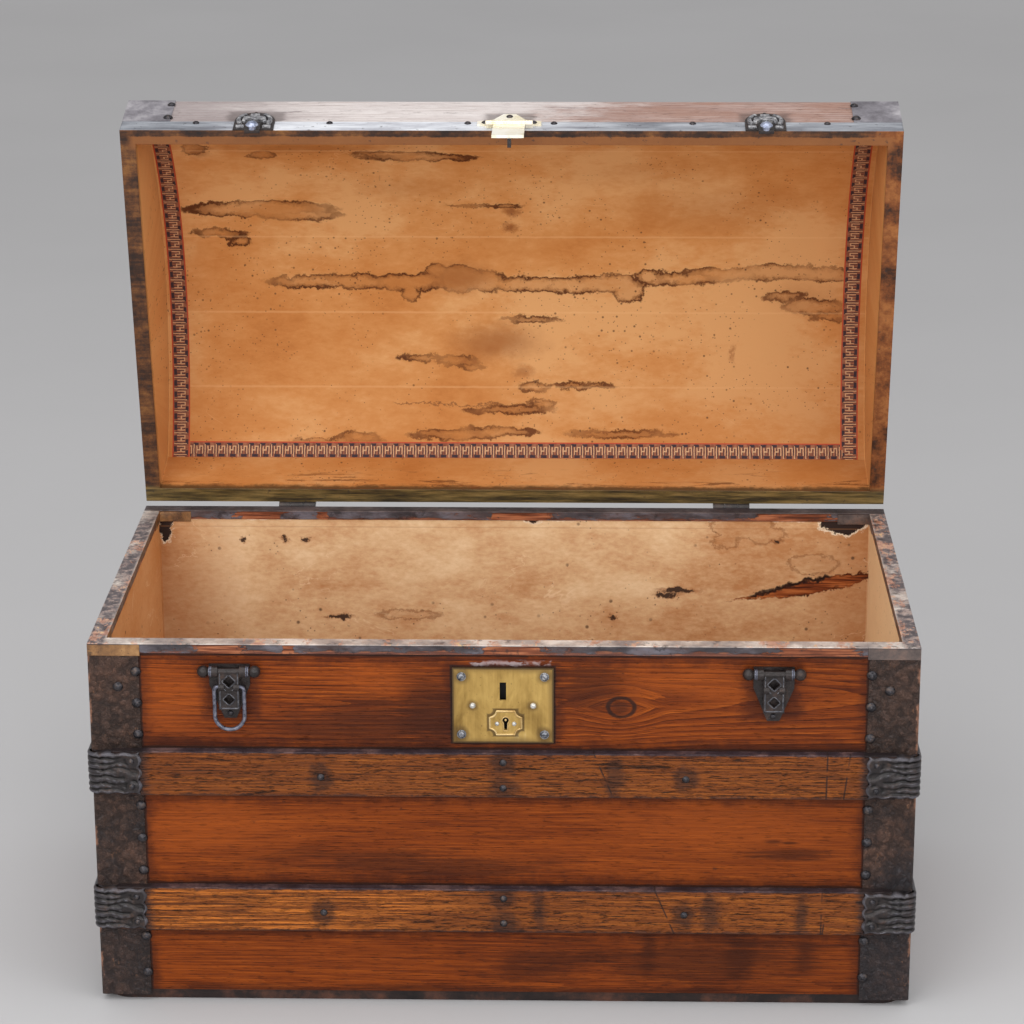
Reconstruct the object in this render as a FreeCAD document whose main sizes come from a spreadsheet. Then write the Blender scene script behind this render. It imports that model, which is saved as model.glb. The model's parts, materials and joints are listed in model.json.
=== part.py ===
import FreeCAD, Part
import Sketcher
import math
import os
import re

# Dome top trunk: a boarded base and a domed lid on two back hinges, bound with sheet metal, oak slats
# and cast clamps. Millimetres, +Z up, front towards -Y, origin in the middle of the bottom rest face.
# Each sub-part is an object of this document. Lid pieces are built with the lid shut and then swung open.

Vector = FreeCAD.Vector
Rotation = FreeCAD.Rotation
doc = FreeCAD.newDocument("dome_top_trunk")

# ---------------------------------------------------------------- driving dimensions

SIZES = (
    ("width", 813.0, "outside of the end boards, 32 inches"),
    ("depth", 442.0, "outside of the front and back boards"),
    ("base_height", 385.0, "floor to the top of the base rim"),
    ("lid_wall", 80.0, "height of the lid's front and back walls"),
    ("dome_rise", 90.0, "height of the dome above the lid walls"),
    ("board", 14.0, "thickness of every board and stave"),
    ("stave_count", 5, "staves in the dome"),
    ("paper", 1.0, "thickness of the lining"),
    ("sheet_metal", 1.0, "thickness of bindings and bands"),
    ("seam", 0.4, "gap between the shut lid and the base"),
    ("lid_open", 78.0, "angle of the open lid on its hinge stops"),
    ("plinth_height", 12.5, "height of the floor boards below the walls"),
    ("plinth_inset", 6.0, "how far the plinth stands back from the walls"),
    ("plinth_radius", 20.0, "rounding of the plinth's corners in plan"),
    ("rim_lip", 10.0, "height of the rim binding's outer and inner lips"),
    ("cap_lip", 13.0, "height of the lips of the rim corner caps"),
    ("cap_length", 50.5, "length of each arm of a rim corner cap"),
    ("slat_low", 106.0, "height of the middle of the lower slat"),
    ("slat_rim", 133.0, "base rim down to the middle of the upper slat"),
    ("slat_width", 47.0, "width of a slat"),
    ("slat_thick", 10.0, "thickness of a slat"),
    ("slat_end", 20.0, "slat's end to the outside of the end board"),
    ("corner_width", 49.0, "width of each wing of a corner plate"),
    ("corner_thick", 1.2, "thickness of a corner plate"),
    ("corner_bottom", 7.0, "lower edge of the base corner plates"),
    ("clamp_height", 44.0, "height of a slat clamp"),
    ("clamp_length", 49.5, "length of a clamp's front wing"),
    ("clamp_toe", 2.5, "thickness of the clamp over the slat's face"),
    ("clamp_wrap", 35.0, "length of the clamp's wing on the end board"),
    ("clamp_skin", 3.8, "thickness of the clamp's wing on the end board"),
    ("clamp_bevel", 9.0, "bevel of the clamp at the corner"),
    ("clamp_nail", 10.0, "clamp's toe to its nails"),
    ("nail_radius", 4.4, "radius of a large nail head"),
    ("tack_radius", 3.2, "radius of a small nail head"),
    ("nail_inset", 46.0, "corner nails to the outside of the end board"),
    ("nail_foot", 25.0, "foot of a corner plate to its lowest nail"),
    ("nail_under", 34.0, "middle of the lower slat down to the nail below it"),
    ("nail_beside", 38.0, "middle of a slat to the other nails beside it"),
    ("nail_rim", 29.0, "base rim down to the highest nail in line"),
    ("nail_gap", 33.0, "highest nail in line down to the next"),
    ("stray_in", 18.0, "stray corner nail nearer to the corner than the others"),
    ("stray_rim", 45.0, "base rim down to the stray corner nail"),
    ("slat_nail_x", 180.0, "middle of a slat to its outer nails"),
    ("slat_nail_low", 3.0, "outer nails of a slat below its middle line"),
    ("slat_pair", 13.5, "nails of the middle pair above and below the middle line"),
    ("clamp_nail_rise", 13.5, "nails of a clamp above and below the middle line"),
    ("band_nail_rise", 20.0, "lid's edge to the rim band's nails"),
    ("band_nail_middle", 45.0, "middle of the trunk to the nearest nails of the rim band"),
    ("band_nail_end", 77.0, "outer nails of the rim band to the outside of the end board"),
    ("band_nail_next", 217.0, "next nails of the rim band to the outside of the end board"),
    ("lid_nail_low", 10.0, "foot of a lid corner plate to its lower nail"),
    ("lid_nail_high", 12.0, "top of a lid corner plate to its upper nail"),
    ("lock_width", 99.5, "width of the lock plate"),
    ("lock_height", 78.5, "height of the lock plate"),
    ("lock_rim", 101.5, "base rim down to the lower edge of the lock plate"),
    ("lock_plate_thick", 2.0, "thickness of the lock plate"),
    ("slot_width", 6.4, "width of the staple's slot in the lock plate"),
    ("slot_height", 18.5, "height of the staple's slot"),
    ("slot_rise", 54.25, "lower edge of the lock plate to the middle of the staple's slot"),
    ("key_x", 2.6, "keyhole's distance from the middle of the trunk"),
    ("key_rise", 24.3, "lower edge of the lock plate to the round part of the keyhole"),
    ("key_radius", 4.6, "radius of the round part of the keyhole"),
    ("key_drop", 10.2, "keyhole's centre to the foot of its slot"),
    ("post_radius", 1.5, "radius of the key post"),
    ("case_width", 62.0, "width of the lock case"),
    ("case_height", 64.0, "height of the lock case"),
    ("case_depth", 11.0, "depth of the lock case in its mortise"),
    ("case_wall", 1.5, "wall of the lock case"),
    ("bolt_length", 19.5, "length of the lock bolt"),
    ("bolt_thick", 3.6, "thickness of the lock bolt, front to back"),
    ("bolt_height", 5.0, "height of the lock bolt"),
    ("bolt_start", 4.5, "tip of the drawn bolt to the middle of the slot"),
    ("slide_fit", 0.3, "clearance round sliding pieces"),
    ("spring_thick", 0.8, "thickness of the leaf spring over the bolt"),
    ("escutcheon_width", 32.8, "width of the keyhole escutcheon"),
    ("escutcheon_height", 25.6, "height of the keyhole escutcheon"),
    ("escutcheon_thick", 2.2, "thickness of the keyhole escutcheon"),
    ("escutcheon_bevel", 8.0, "cut of the escutcheon's corners"),
    ("lock_nail_inset", 9.0, "lock plate's edge to its corner screws"),
    ("lock_rivet_inset", 20.0, "lock plate's edge to its side rivets"),
    ("latch_inset", 140.0, "middle of each latch to the outside of the end board, before the shift"),
    ("latch_rim", 26.0, "base rim down to the latch bars"),
    ("latch_out", 8.0, "latch bar's axis in front of the boards"),
    ("latch_plate_thick", 2.5, "thickness of a latch base plate"),
    ("latch_plate_half", 20.0, "half the width of a latch base plate at its top"),
    ("latch_plate_foot", 6.0, "half the width of a latch base plate at its foot"),
    ("latch_plate_drop", 50.5, "latch bar down to the foot of the base plate"),
    ("latch_plate_top", 8.0, "latch bar down to the top of the base plate"),
    ("bar_radius", 3.5, "radius of a latch bar"),
    ("bar_half", 25.2, "middle of the latch to the middle of each ball"),
    ("ball_radius", 6.0, "radius of the balls on a latch bar"),
    ("knuckle_radius", 5.6, "outer radius of a latch knuckle"),
    ("knuckle_foot", 2.0, "how much lower than its knuckle a knuckle's foot is"),
    ("knuckle_length", 6.0, "length of a latch knuckle"),
    ("shaft_fit", 0.06, "radial clearance of a turning pin or bar"),
    ("flap_half", 10.3, "half the width of a latch lever"),
    ("flap_drop", 39.0, "latch bar down to the lever's foot"),
    ("flap_thick", 3.0, "thickness of a latch lever"),
    ("pierce_upper", 5.8, "half the diagonal of the lever's upper diamond"),
    ("pierce_lower", 5.4, "half the diagonal of the lever's lower diamond"),
    ("pierce_upper_drop", 9.6, "latch bar down to the upper diamond"),
    ("pierce_lower_drop", 28.2, "latch bar down to the lower diamond"),
    ("bail_drop", 15.7, "latch bar down to the bail's pivot"),
    ("bail_wire", 2.0, "radius of the bail's wire"),
    ("bail_half", 14.6, "middle of the bail to the middle of each leg"),
    ("bail_end_bend", 3.6, "bend radius at the bail's ends"),
    ("bail_foot_bend", 10.2, "bend radius at the bail's foot"),
    ("bail_length", 44.3, "bail's pivot to the middle of its loop"),
    ("bail_grip", 4.6, "how deep each end of the bail sits in its eye"),
    ("bail_eye", 4.0, "outer radius of the bail's eyes"),
    ("eye_length", 5.6, "length of a bail eye"),
    ("catch_radius", 21.3, "radius of a latch catch's arched top"),
    ("catch_height", 44.0, "height of a latch catch above the lid's edge"),
    ("catch_thick", 4.0, "thickness of a latch catch"),
    ("catch_clear", 0.8, "catch tongue to the base rim"),
    ("catch_slot_x", 6.5, "middle of the catch to the middle of each of its two slots"),
    ("catch_slot_width", 6.0, "width of a slot in the catch"),
    ("catch_slot_height", 14.0, "height of a slot in the catch"),
    ("tongue_half", 8.0, "half the width of the catch's tongue"),
    ("tongue_drop", 9.0, "how far the tongue hangs below the lid's edge"),
    ("nose_drop", 6.0, "middle of the nose below the lid's edge"),
    ("nose_neck", 4.0, "radius of the nose's neck"),
    ("nose_neck_length", 4.4, "length of the nose's neck"),
    ("nose_radius", 6.8, "radius of the nose's head"),
    ("band_height", 24.0, "height of the lid's rim band"),
    ("band_ease", 1.0, "angle by which the dome's end bands stop short of the lid walls"),
    ("end_band_width", 45.0, "width of the bands over the dome's ends"),
    ("border_width", 16.0, "width of the border strips"),
    ("border_inset", 10.0, "border strips to the lined lid ends"),
    ("border_thick", 0.4, "thickness of the border strips"),
    ("border_paste", 0.1, "paste under the border strips"),
    ("hinge_inset", 166.5, "middle of each hinge to the outside of the end board"),
    ("hinge_out", 5.0, "hinge axis behind the back boards"),
    ("hinge_width", 40.0, "width of a hinge"),
    ("hinge_leaf", 60.0, "length of a hinge leaf"),
    ("leaf_thick", 2.5, "thickness of a hinge leaf"),
    ("hinge_knuckle", 3.8, "outer radius of a hinge knuckle"),
    ("hinge_pin", 2.0, "radius of a hinge pin"),
    ("hinge_gap", 0.4, "gap between hinge knuckles"),
    ("hinge_middle", 14.0, "length of the lid leaf's knuckle"),
    ("stop_reach", 13.0, "hinge axis to the rear of the stop"),
    ("stop_gap", 0.3, "lid leaf to its stop when the lid is open"),
    ("fitting_shift", -1.6, "middle of the hasp and latches from the middle of the trunk"),
    ("hasp_rise", 8.0, "hasp axis above the lid's edge"),
    ("hasp_out", 6.4, "hasp axis in front of the boards"),
    ("hasp_knuckle", 3.0, "outer radius of the hasp's knuckles"),
    ("hasp_pin", 1.5, "radius of the hasp pin"),
    ("hasp_half", 16.5, "half the width of the hasp flap"),
    ("hasp_length", 60.0, "hasp axis to the flap's foot"),
    ("hasp_thick", 3.0, "thickness of the hasp flap"),
    ("hasp_clear", 0.5, "shut hasp flap to the lock plate"),
    ("hasp_rest", 12.0, "how far the flap stands out from its shut place"),
    ("mount_knuckle", 7.5, "length of a knuckle of the hasp mount"),
    ("mount_half", 33.4, "half the width of the hasp mount"),
    ("mount_thick", 2.0, "thickness of the hasp mount"),
    ("mount_arm", 21.0, "top of the mount's arms above the lid's edge"),
    ("mount_shoulder", 25.0, "top of the mount's shoulders above the lid's edge"),
    ("mount_peak", 40.0, "top of the mount's peak above the lid's edge"),
    ("mount_screw_in", 8.0, "ends of the mount to its lower screws"),
    ("mount_screw_rise", 5.0, "foot of the mount's arms to its lower screws"),
    ("mount_screw_drop", 7.0, "top of the mount's peak to its upper screw"),
    ("mount_foot", 12.5, "foot of the mount's arms above the lid's edge"),
    ("staple_thick", 3.7, "thickness of the staple"),
    ("staple_height", 14.0, "height of the staple along the flap"),
    ("staple_deep", 9.5, "how far the staple stands off the flap"),
    ("eye_height", 7.0, "height of the staple's eye"),
    ("eye_depth", 4.4, "depth of the staple's eye"),
    ("eye_wall", 1.6, "wall of the staple beyond its eye"),
    ("handle_z", 250.0, "height of the end handles"),
    ("handle_reach", 22.0, "outside of the strap to the end boards"),
    ("handle_half", 85.0, "half the length of a handle strap"),
    ("strap_width", 30.0, "width of a handle strap"),
    ("strap_thick", 4.0, "thickness of a handle strap"),
    ("strap_foot", 3.6, "rise of the strap's middle line at its ends"),
    ("handle_cap_length", 32.0, "length of a handle cap"),
    ("handle_cap_height", 40.0, "height of a handle cap"),
    ("handle_cap_thick", 9.0, "thickness of a handle cap"),
)
NAMES = {name for name, value, meaning in SIZES}

sheet = doc.addObject("Spreadsheet::Sheet", "sizes")
for row, (name, value, meaning) in enumerate(SIZES, start=1):
    sheet.set(f"A{row}", name)
    sheet.set(f"B{row}", str(value))
    sheet.set(f"C{row}", meaning)
    sheet.setAlias(f"B{row}", name)
doc.recompute()

# ---------------------------------------------------------------- ways to build a piece

WORD = re.compile(r"[A-Za-z_]\w*")
ALONG = {  # turns local z onto an axis; along x the local x lies on +Y, so angles open from the back upwards
    "x": Rotation(Vector(0, 1, 0), Vector(0, 0, 1), Vector(1, 0, 0), "XYZ"),
    "y": Rotation(Vector(1, 0, 0), -90),
    "-y": Rotation(Vector(1, 0, 0), 90),
    "z": Rotation(),
}
AXES = "xyz"


def formula(text):
    """The text as an expression: each size in it is read from the sheet."""
    def from_sheet(word):
        return "sizes." + word.group() if word.group() in NAMES else word.group()

    return WORD.sub(from_sheet, str(text))


def bind(item, path, text):
    item.setExpression(path, formula(text))


def place(item, *point):
    for axis, text in zip(AXES, point):
        bind(item, f"Placement.Base.{axis}", text)
    return item


def middle_span(middle, size):
    """The two ends of a length that lies about a middle."""
    return f"({middle}) - ({size}) / 2", f"({middle}) + ({size}) / 2"


def box(name, x, y, z):
    """A block between pairs of coordinates."""
    item = doc.addObject("Part::Box", name)
    for side, (low, high) in zip(("Length", "Width", "Height"), (x, y, z)):
        bind(item, side, f"({high}) - ({low})")
    return place(item, x[0], y[0], z[0])


def rod(name, radius, axis, low, high, a, b):
    """A cylinder from low to high along an axis; a and b are its other two coordinates."""
    item = doc.addObject("Part::Cylinder", name)
    item.Placement = FreeCAD.Placement(Vector(), ALONG[axis])
    bind(item, "Radius", radius)
    bind(item, "Height", f"({high}) - ({low})")
    point = [a, b]
    point.insert(AXES.index(axis), low)
    return place(item, *point)


def ball(name, radius, axis, x, y, z):
    """A ball whose poles lie on an axis."""
    item = doc.addObject("Part::Sphere", name)
    item.Placement = FreeCAD.Placement(Vector(), ALONG[axis])
    bind(item, "Radius", radius)
    return place(item, x, y, z)


HEAD_SLOPE = 30  # a domed head is the part of a ball above this latitude


def head(name, radius, x, y, z, toward="-y"):
    """A domed head whose flat side, of the given radius, lies at a point and whose crown faces out."""
    item = doc.addObject("Part::Sphere", name)
    item.Placement = FreeCAD.Placement(Vector(), ALONG[toward])
    item.Angle1 = HEAD_SLOPE
    item.Angle2 = 90
    bind(item, "Radius", f"({radius}) / cos({HEAD_SLOPE})")
    point = [x, y, z]
    outward = "-" if toward.startswith("-") else "+"
    sunk = AXES.index(toward[-1])
    point[sunk] = f"({point[sunk]}) - (0 {outward} ({radius}) * tan({HEAD_SLOPE}))"
    return place(item, *point)


def cut(name, base, *tools):
    item = doc.addObject("Part::Cut", name)
    item.Base = base
    item.Tool = tools[0] if len(tools) == 1 else group(name + "_tools", tools)
    return item


def fuse(name, *pieces):
    item = doc.addObject("Part::MultiFuse", name)
    item.Shapes = list(pieces)
    item.Refine = True
    return item


def common(name, base, tool):
    item = doc.addObject("Part::Common", name)
    item.Base = base
    item.Tool = tool
    return item


def group(name, pieces):
    item = doc.addObject("Part::Compound", name)
    item.Links = list(pieces)
    return item


def plate(name, plane, corners, low, high, rounding=None):
    """A flat body: an outline of corners in one of its own planes, raised from low to high."""
    body = doc.addObject("PartDesign::Body", name)
    origin = next(feature for feature in body.Origin.OriginFeatures if feature.Role == plane)
    sketch = body.newObject("Sketcher::SketchObject", name + "_outline")
    sketch.AttachmentSupport = [(origin, "")]
    sketch.MapMode = "FlatFace"
    count = len(corners)
    turns = [2 * math.pi * i / count for i in range(count)]
    ring = [Vector(math.cos(turn), math.sin(turn)) for turn in turns]
    for i in range(count):
        sketch.addGeometry(Part.LineSegment(ring[i], ring[(i + 1) % count]))
    for i, corner in enumerate(corners):
        sketch.addConstraint(Sketcher.Constraint("Coincident", i, 2, (i + 1) % count, 1))
        for kind, text, value in zip(("DistanceX", "DistanceY"), corner, ring[i]):
            index = sketch.addConstraint(Sketcher.Constraint(kind, -1, 1, i, 1, value))
            bind(sketch, f"Constraints[{index}]", text)
    pad = body.newObject("PartDesign::Pad", name + "_pad")
    pad.Profile = sketch
    bind(pad, "Length", f"({high}) - ({low})")
    if plane == "XZ_Plane":
        place(body, "0", high, "0")
    else:
        bind(body, "Placement.Base." + ("z" if plane == "XY_Plane" else "x"), low)
    if rounding:
        doc.recompute()
        upright = [
            f"Edge{i}" for i, edge in enumerate(pad.Shape.Edges, start=1)
            if abs(edge.tangentAt(edge.FirstParameter).z) > 0.99
        ]
        fillet = body.newObject("PartDesign::Fillet", name + "_fillet")
        fillet.Base = (pad, upright)
        bind(fillet, "Radius", rounding)
    return body


nodes = []


def swing(item, angle, y, z):
    """Turns an object by an angle about an axis along X through (y, z)."""
    item.Placement = FreeCAD.Placement(Vector(), Rotation(Vector(1, 0, 0), 1))
    bind(item, "Placement.Rotation.Angle", angle)
    turn_cos, turn_sin = f"cos({angle})", f"sin({angle})"
    bind(item, "Placement.Base.y", f"({y}) * (1 - {turn_cos}) + ({z}) * {turn_sin}")
    bind(item, "Placement.Base.z", f"({z}) * (1 - {turn_cos}) - ({y}) * {turn_sin}")
    return item


def base_node(name, *pieces):
    """A named piece, or set of like pieces, that stands still."""
    item = group(name, pieces)
    item.Label = name
    nodes.append(item)
    return item


def lid_node(name, *pieces):
    """A named piece of the lid, built shut and swung open."""
    return swing(base_node(name, *pieces), "-lid_open", HINGE_Y, HINGE_Z)


# ---------------------------------------------------------------- shared places

BACK = "(depth / 2)"
FRONT = "(-depth / 2)"
END = "(width / 2)"
LINED_X = "(width / 2 - board)"
LINED_Y = "(depth / 2 - board)"
WALL_TOP = "(base_height - sheet_metal)"
SLAT_HIGH = "(base_height - slat_rim)"
LID_Z = "(base_height + seam)"
LID_BOARD_Z = f"({LID_Z} + sheet_metal)"
HINGE_X = "(width / 2 - hinge_inset)"
HINGE_Y = "(depth / 2 + hinge_out)"
HINGE_Z = "(base_height + seam / 2)"
HASP_Y = f"({FRONT} - hasp_out)"
HASP_Z = f"({LID_Z} + hasp_rise)"
DOME_RADIUS = "((depth ^ 2 / 4 + dome_rise ^ 2) / (2 * dome_rise))"
DOME_INSIDE = f"({DOME_RADIUS} - board)"
DOME_Z = f"({LID_Z} + lid_wall + dome_rise - {DOME_RADIUS})"
DOME_START = f"(acos(depth / 2 / {DOME_RADIUS}) / 1 deg)"
DOME_SWEEP = f"(180 - 2 * {DOME_START})"
SIDES = (("left", -1), ("right", 1))
FACES = (("front", -1), ("back", 1))
BEYOND = 5  # how far a cutting tool runs past what it cuts


def both(value):
    """From one side of the middle plane to the other."""
    return f"-({value})", f"({value})"


def past(low, high):
    """A span that runs past both its ends, for a tool that cuts right through."""
    return f"({low}) - {BEYOND}", f"({high}) + {BEYOND}"


def sided(side, near, far):
    """Two coordinates in rising order on the left or right, or the front or back."""
    return (f"({near})", f"({far})") if side > 0 else (f"-({far})", f"-({near})")


# ---------------------------------------------------------------- base: floor and walls

def plinth(name, inset, top):
    half_x, half_y = f"width / 2 - {inset}", f"depth / 2 - {inset}"
    corners = [(f"{a} * ({half_x})", f"{b} * ({half_y})") for a, b in ((-1, -1), (1, -1), (1, 1), (-1, 1))]
    return plate(name, "XY_Plane", corners, "0", top, f"plinth_radius + plinth_inset - {inset}")


BAND_INSIDE = "(plinth_inset + sheet_metal)"
bottom_outer = plinth("bottom_outer", "plinth_inset", "plinth_height")
bottom_inner = plinth("bottom_inner", BAND_INSIDE, "plinth_height")
base_node("bottom_band", cut("bottom_ring", bottom_outer, bottom_inner))

FLOOR_BOARDS = 3
floor_boards = []
for i in range(FLOOR_BOARDS):
    floor_slab = plinth(f"floor_slab_{i}", BAND_INSIDE, "plinth_height")
    strip = box(f"floor_strip_{i}", both("width / 2"), (
        f"{FRONT} + depth * {i} / {FLOOR_BOARDS}", f"{FRONT} + depth * {i + 1} / {FLOOR_BOARDS}"),
        ("0", "plinth_height"))
    floor_boards.append(common(f"floor_board_{i}", floor_slab, strip))
base_node("floor_boards", *floor_boards)

COURSES = (
    ("lower", "plinth_height", "slat_low"),
    ("middle", "slat_low", SLAT_HIGH),
    ("upper", SLAT_HIGH, WALL_TOP),
)
PLATE_LOW = "(base_height - lock_rim)"
PLATE_MID = f"({PLATE_LOW} + lock_height / 2)"
CASE_TOP = f"({PLATE_MID} + case_height / 2)"
CASE_LOW = f"({PLATE_MID} - case_height / 2)"
front_boards = {
    course: box(f"front_{course}", both(END), (FRONT, f"{FRONT} + board"), (low, high))
    for course, low, high in COURSES
}
mortise = box("lock_mortise", both("case_width / 2"), (f"{FRONT} - {BEYOND}", f"{FRONT} + case_depth"),
              (CASE_LOW, CASE_TOP))
base_node("front_board_upper", cut("front_upper_mortised", front_boards["upper"], mortise))
base_node("front_board_middle", front_boards["middle"])
base_node("front_board_lower", front_boards["lower"])
base_node("back_boards", *[
    box(f"back_{course}", both(END), (f"{BACK} - board", BACK), (low, high))
    for course, low, high in COURSES])
for side_name, side in SIDES:
    base_node(f"{side_name}_end_boards", *[
        box(f"{side_name}_{course}", sided(side, LINED_X, END), both(LINED_Y), (low, high))
        for course, low, high in COURSES])

lining = [box("lining_floor", both(LINED_X), both(LINED_Y), ("plinth_height", "plinth_height + paper"))]
for face_name, face in FACES:
    lining.append(box(f"lining_{face_name}", both(LINED_X), sided(face, f"{LINED_Y} - paper", LINED_Y),
                      ("plinth_height + paper", WALL_TOP)))
for side_name, side in SIDES:
    lining.append(box(f"lining_{side_name}", sided(side, f"{LINED_X} - paper", LINED_X),
                      both(f"{LINED_Y} - paper"), ("plinth_height + paper", WALL_TOP)))
base_node("base_lining", *lining)

# ---------------------------------------------------------------- base: rim, corners, slats, clamps

RIM_IN = "(board + paper + sheet_metal)"


def rim_ring(name, lip):
    """A channel all round the base's rim, with lips of the given height outside and inside."""
    outer = box(f"{name}_outer", both(f"{END} + sheet_metal"), both(f"{BACK} + sheet_metal"),
                (f"base_height - {lip}", "base_height"))
    inner = box(f"{name}_inner", both(f"{END} - {RIM_IN}"), both(f"{BACK} - {RIM_IN}"),
                (f"base_height - {lip} - {BEYOND}", f"base_height + {BEYOND}"))
    below = f"base_height - {lip} - {BEYOND}"
    wall = cut(f"{name}_wall",
               box(f"{name}_wall_outer", both(END), both(BACK), (below, WALL_TOP)),
               box(f"{name}_wall_inner", both(f"{LINED_X} - paper"), both(f"{LINED_Y} - paper"),
                   (f"{below} - {BEYOND}", f"base_height + {BEYOND}")))
    return cut(name, outer, inner, wall)


CAP_X = f"({END} - cap_length)"
CAP_Y = f"({BACK} - cap_length)"
PAST_X = f"({END} + {BEYOND})"
PAST_Y = f"({BACK} + {BEYOND})"
RIM_SPAN = (f"base_height - cap_lip - {BEYOND}", f"base_height + {BEYOND}")
strips = []
for face_name, face in FACES:
    space = box(f"rim_space_{face_name}", both(CAP_X), sided(face, CAP_Y, PAST_Y), RIM_SPAN)
    strips.append(common(f"rim_{face_name}", rim_ring(f"rim_ring_{face_name}", "rim_lip"), space))
for side_name, side in SIDES:
    space = box(f"rim_space_{side_name}", sided(side, CAP_X, PAST_X), both(CAP_Y), RIM_SPAN)
    strips.append(common(f"rim_{side_name}", rim_ring(f"rim_ring_{side_name}", "rim_lip"), space))
base_node("rim_binding", *strips)

caps = []
for face_name, face in FACES:
    for side_name, side in SIDES:
        label = f"{face_name}_{side_name}"
        space = box(f"cap_space_{label}", sided(side, CAP_X, PAST_X), sided(face, CAP_Y, PAST_Y), RIM_SPAN)
        caps.append(common(f"cap_{label}", rim_ring(f"cap_ring_{label}", "cap_lip"), space))
base_node("rim_corner_caps", *caps)


def corner_plate(name, side, face, low, high):
    """Sheet metal folded round an upright corner."""
    outer = box(f"{name}_outer", sided(side, f"{END} - corner_width", f"{END} + corner_thick"),
                sided(face, f"{BACK} - corner_width", f"{BACK} + corner_thick"), (low, high))
    inner = box(f"{name}_inner", sided(side, f"{END} - corner_width - {BEYOND}", END),
                sided(face, f"{BACK} - corner_width - {BEYOND}", BACK), past(low, high))
    return cut(name, outer, inner)


CORNER_TOP = "(base_height - cap_lip)"
for side_name, side in SIDES:
    base_node(f"front_{side_name}_corner_plate",
              corner_plate(f"corner_front_{side_name}", side, -1, "corner_bottom", CORNER_TOP))
base_node("back_corner_plates", *[
    corner_plate(f"corner_back_{side_name}", side, 1, "corner_bottom", CORNER_TOP)
    for side_name, side in SIDES])

SLATS = (("upper", SLAT_HIGH), ("lower", "slat_low"))
SLAT_END = f"({END} - slat_end)"


def slat(name, face, z):
    """An oak slat, rebated at its ends for the corner plates below it."""
    span = middle_span(z, "slat_width")
    bar = box(f"{name}_bar", both(SLAT_END), sided(face, BACK, f"{BACK} + slat_thick"), span)
    rebates = [
        box(f"{name}_rebate_{side_name}", sided(side, f"{END} - corner_width", f"{END} + {BEYOND}"),
            sided(face, f"{BACK} - {BEYOND}", f"{BACK} + corner_thick"), past(*span))
        for side_name, side in SIDES]
    return cut(name, bar, *rebates)


for slat_name, slat_z in SLATS:
    base_node(f"front_slat_{slat_name}", slat(f"slat_front_{slat_name}", -1, slat_z))
base_node("back_slats", *[slat(f"slat_back_{slat_name}", 1, slat_z) for slat_name, slat_z in SLATS])


def clamp_outline(side, face, front, skin_front, skin_end):
    """The clamp seen along its height: a toe on the slat, a block at its end and a wing on the end board."""
    outside_x, outside_y = f"({END} + {skin_end})", f"({front} + slat_thick)"
    corners = (
        (f"{END} - clamp_length", f"{outside_y} + clamp_toe"),
        (f"{outside_x} + clamp_skin - clamp_bevel", f"{outside_y} + clamp_toe"),
        (f"{outside_x} + clamp_skin", f"{outside_y} + clamp_toe - clamp_bevel"),
        (f"{outside_x} + clamp_skin", f"{front} - clamp_wrap"),
        (outside_x, f"{front} - clamp_wrap"),
        (outside_x, f"{front} + {skin_front}"),
        (SLAT_END, f"{front} + {skin_front}"),
        (SLAT_END, outside_y),
        (f"{END} - clamp_length", outside_y),
    )
    return [(f"{side} * ({x})", f"{face} * ({y})") for x, y in corners]


clamps = []
for slat_name, slat_z in SLATS:
    for face_name, face in FACES:
        for side_name, side in SIDES:
            outline = clamp_outline(side, face, BACK, "corner_thick", "corner_thick")
            clamps.append(plate(f"clamp_{slat_name}_{face_name}_{side_name}", "XY_Plane", outline,
                                *middle_span(slat_z, "clamp_height")))
base_node("slat_clamps", *clamps)

# Corner nails stand in a line on each plate, in three rows between the slats; one more is set back
# near the rim. Slat nails come in a pair at the middle of each slat and singly between.
NAIL_ROWS = (
    "corner_bottom + nail_foot", "slat_low - nail_under", "slat_low + nail_beside",
    f"(slat_low + {SLAT_HIGH}) / 2", f"{SLAT_HIGH} - nail_beside", f"{SLAT_HIGH} + nail_beside",
    "base_height - nail_rim - nail_gap", "base_height - nail_rim",
)
SLAT_NAILS = (
    ("-slat_nail_x", "-slat_nail_low"), ("0", "slat_pair"), ("0", "-slat_pair"),
    ("slat_nail_x", "-slat_nail_low"),
)
nails = []
for face_name, face in FACES:
    toward = "-y" if face < 0 else "y"
    plate_y, slat_y = f"{face} * ({BACK} + corner_thick)", f"{face} * ({BACK} + slat_thick)"
    clamp_y = f"{face} * ({BACK} + slat_thick + clamp_toe)"
    for side_name, side in SIDES:
        label = f"{face_name}_{side_name}"
        nail_x = f"{side} * ({END} - nail_inset)"
        for i, row in enumerate(NAIL_ROWS):
            nails.append(head(f"nail_{label}_{i}", "nail_radius", nail_x, plate_y, row, toward))
        nails.append(head(f"nail_{label}_stray", "nail_radius", f"{side} * ({END} - nail_inset + stray_in)",
                          plate_y, "base_height - stray_rim", toward))
        for slat_name, slat_z in SLATS:
            for i, rise in enumerate(("clamp_nail_rise", "-clamp_nail_rise")):
                nails.append(head(f"clamp_nail_{slat_name}_{label}_{i}", "tack_radius",
                                  f"{side} * ({END} - clamp_length + clamp_nail)", clamp_y,
                                  f"{slat_z} + {rise}", toward))
    for slat_name, slat_z in SLATS:
        for i, (nail_x, rise) in enumerate(SLAT_NAILS):
            nails.append(head(f"slat_nail_{slat_name}_{face_name}_{i}", "tack_radius", nail_x, slat_y,
                              f"{slat_z} + {rise}", toward))
base_node("base_nails", *nails)

# ---------------------------------------------------------------- lock

PLATE_FRONT = f"({FRONT} - lock_plate_thick)"
SLOT_Z = f"({PLATE_LOW} + slot_rise)"
KEY_Z = f"({PLATE_LOW} + key_rise)"


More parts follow.
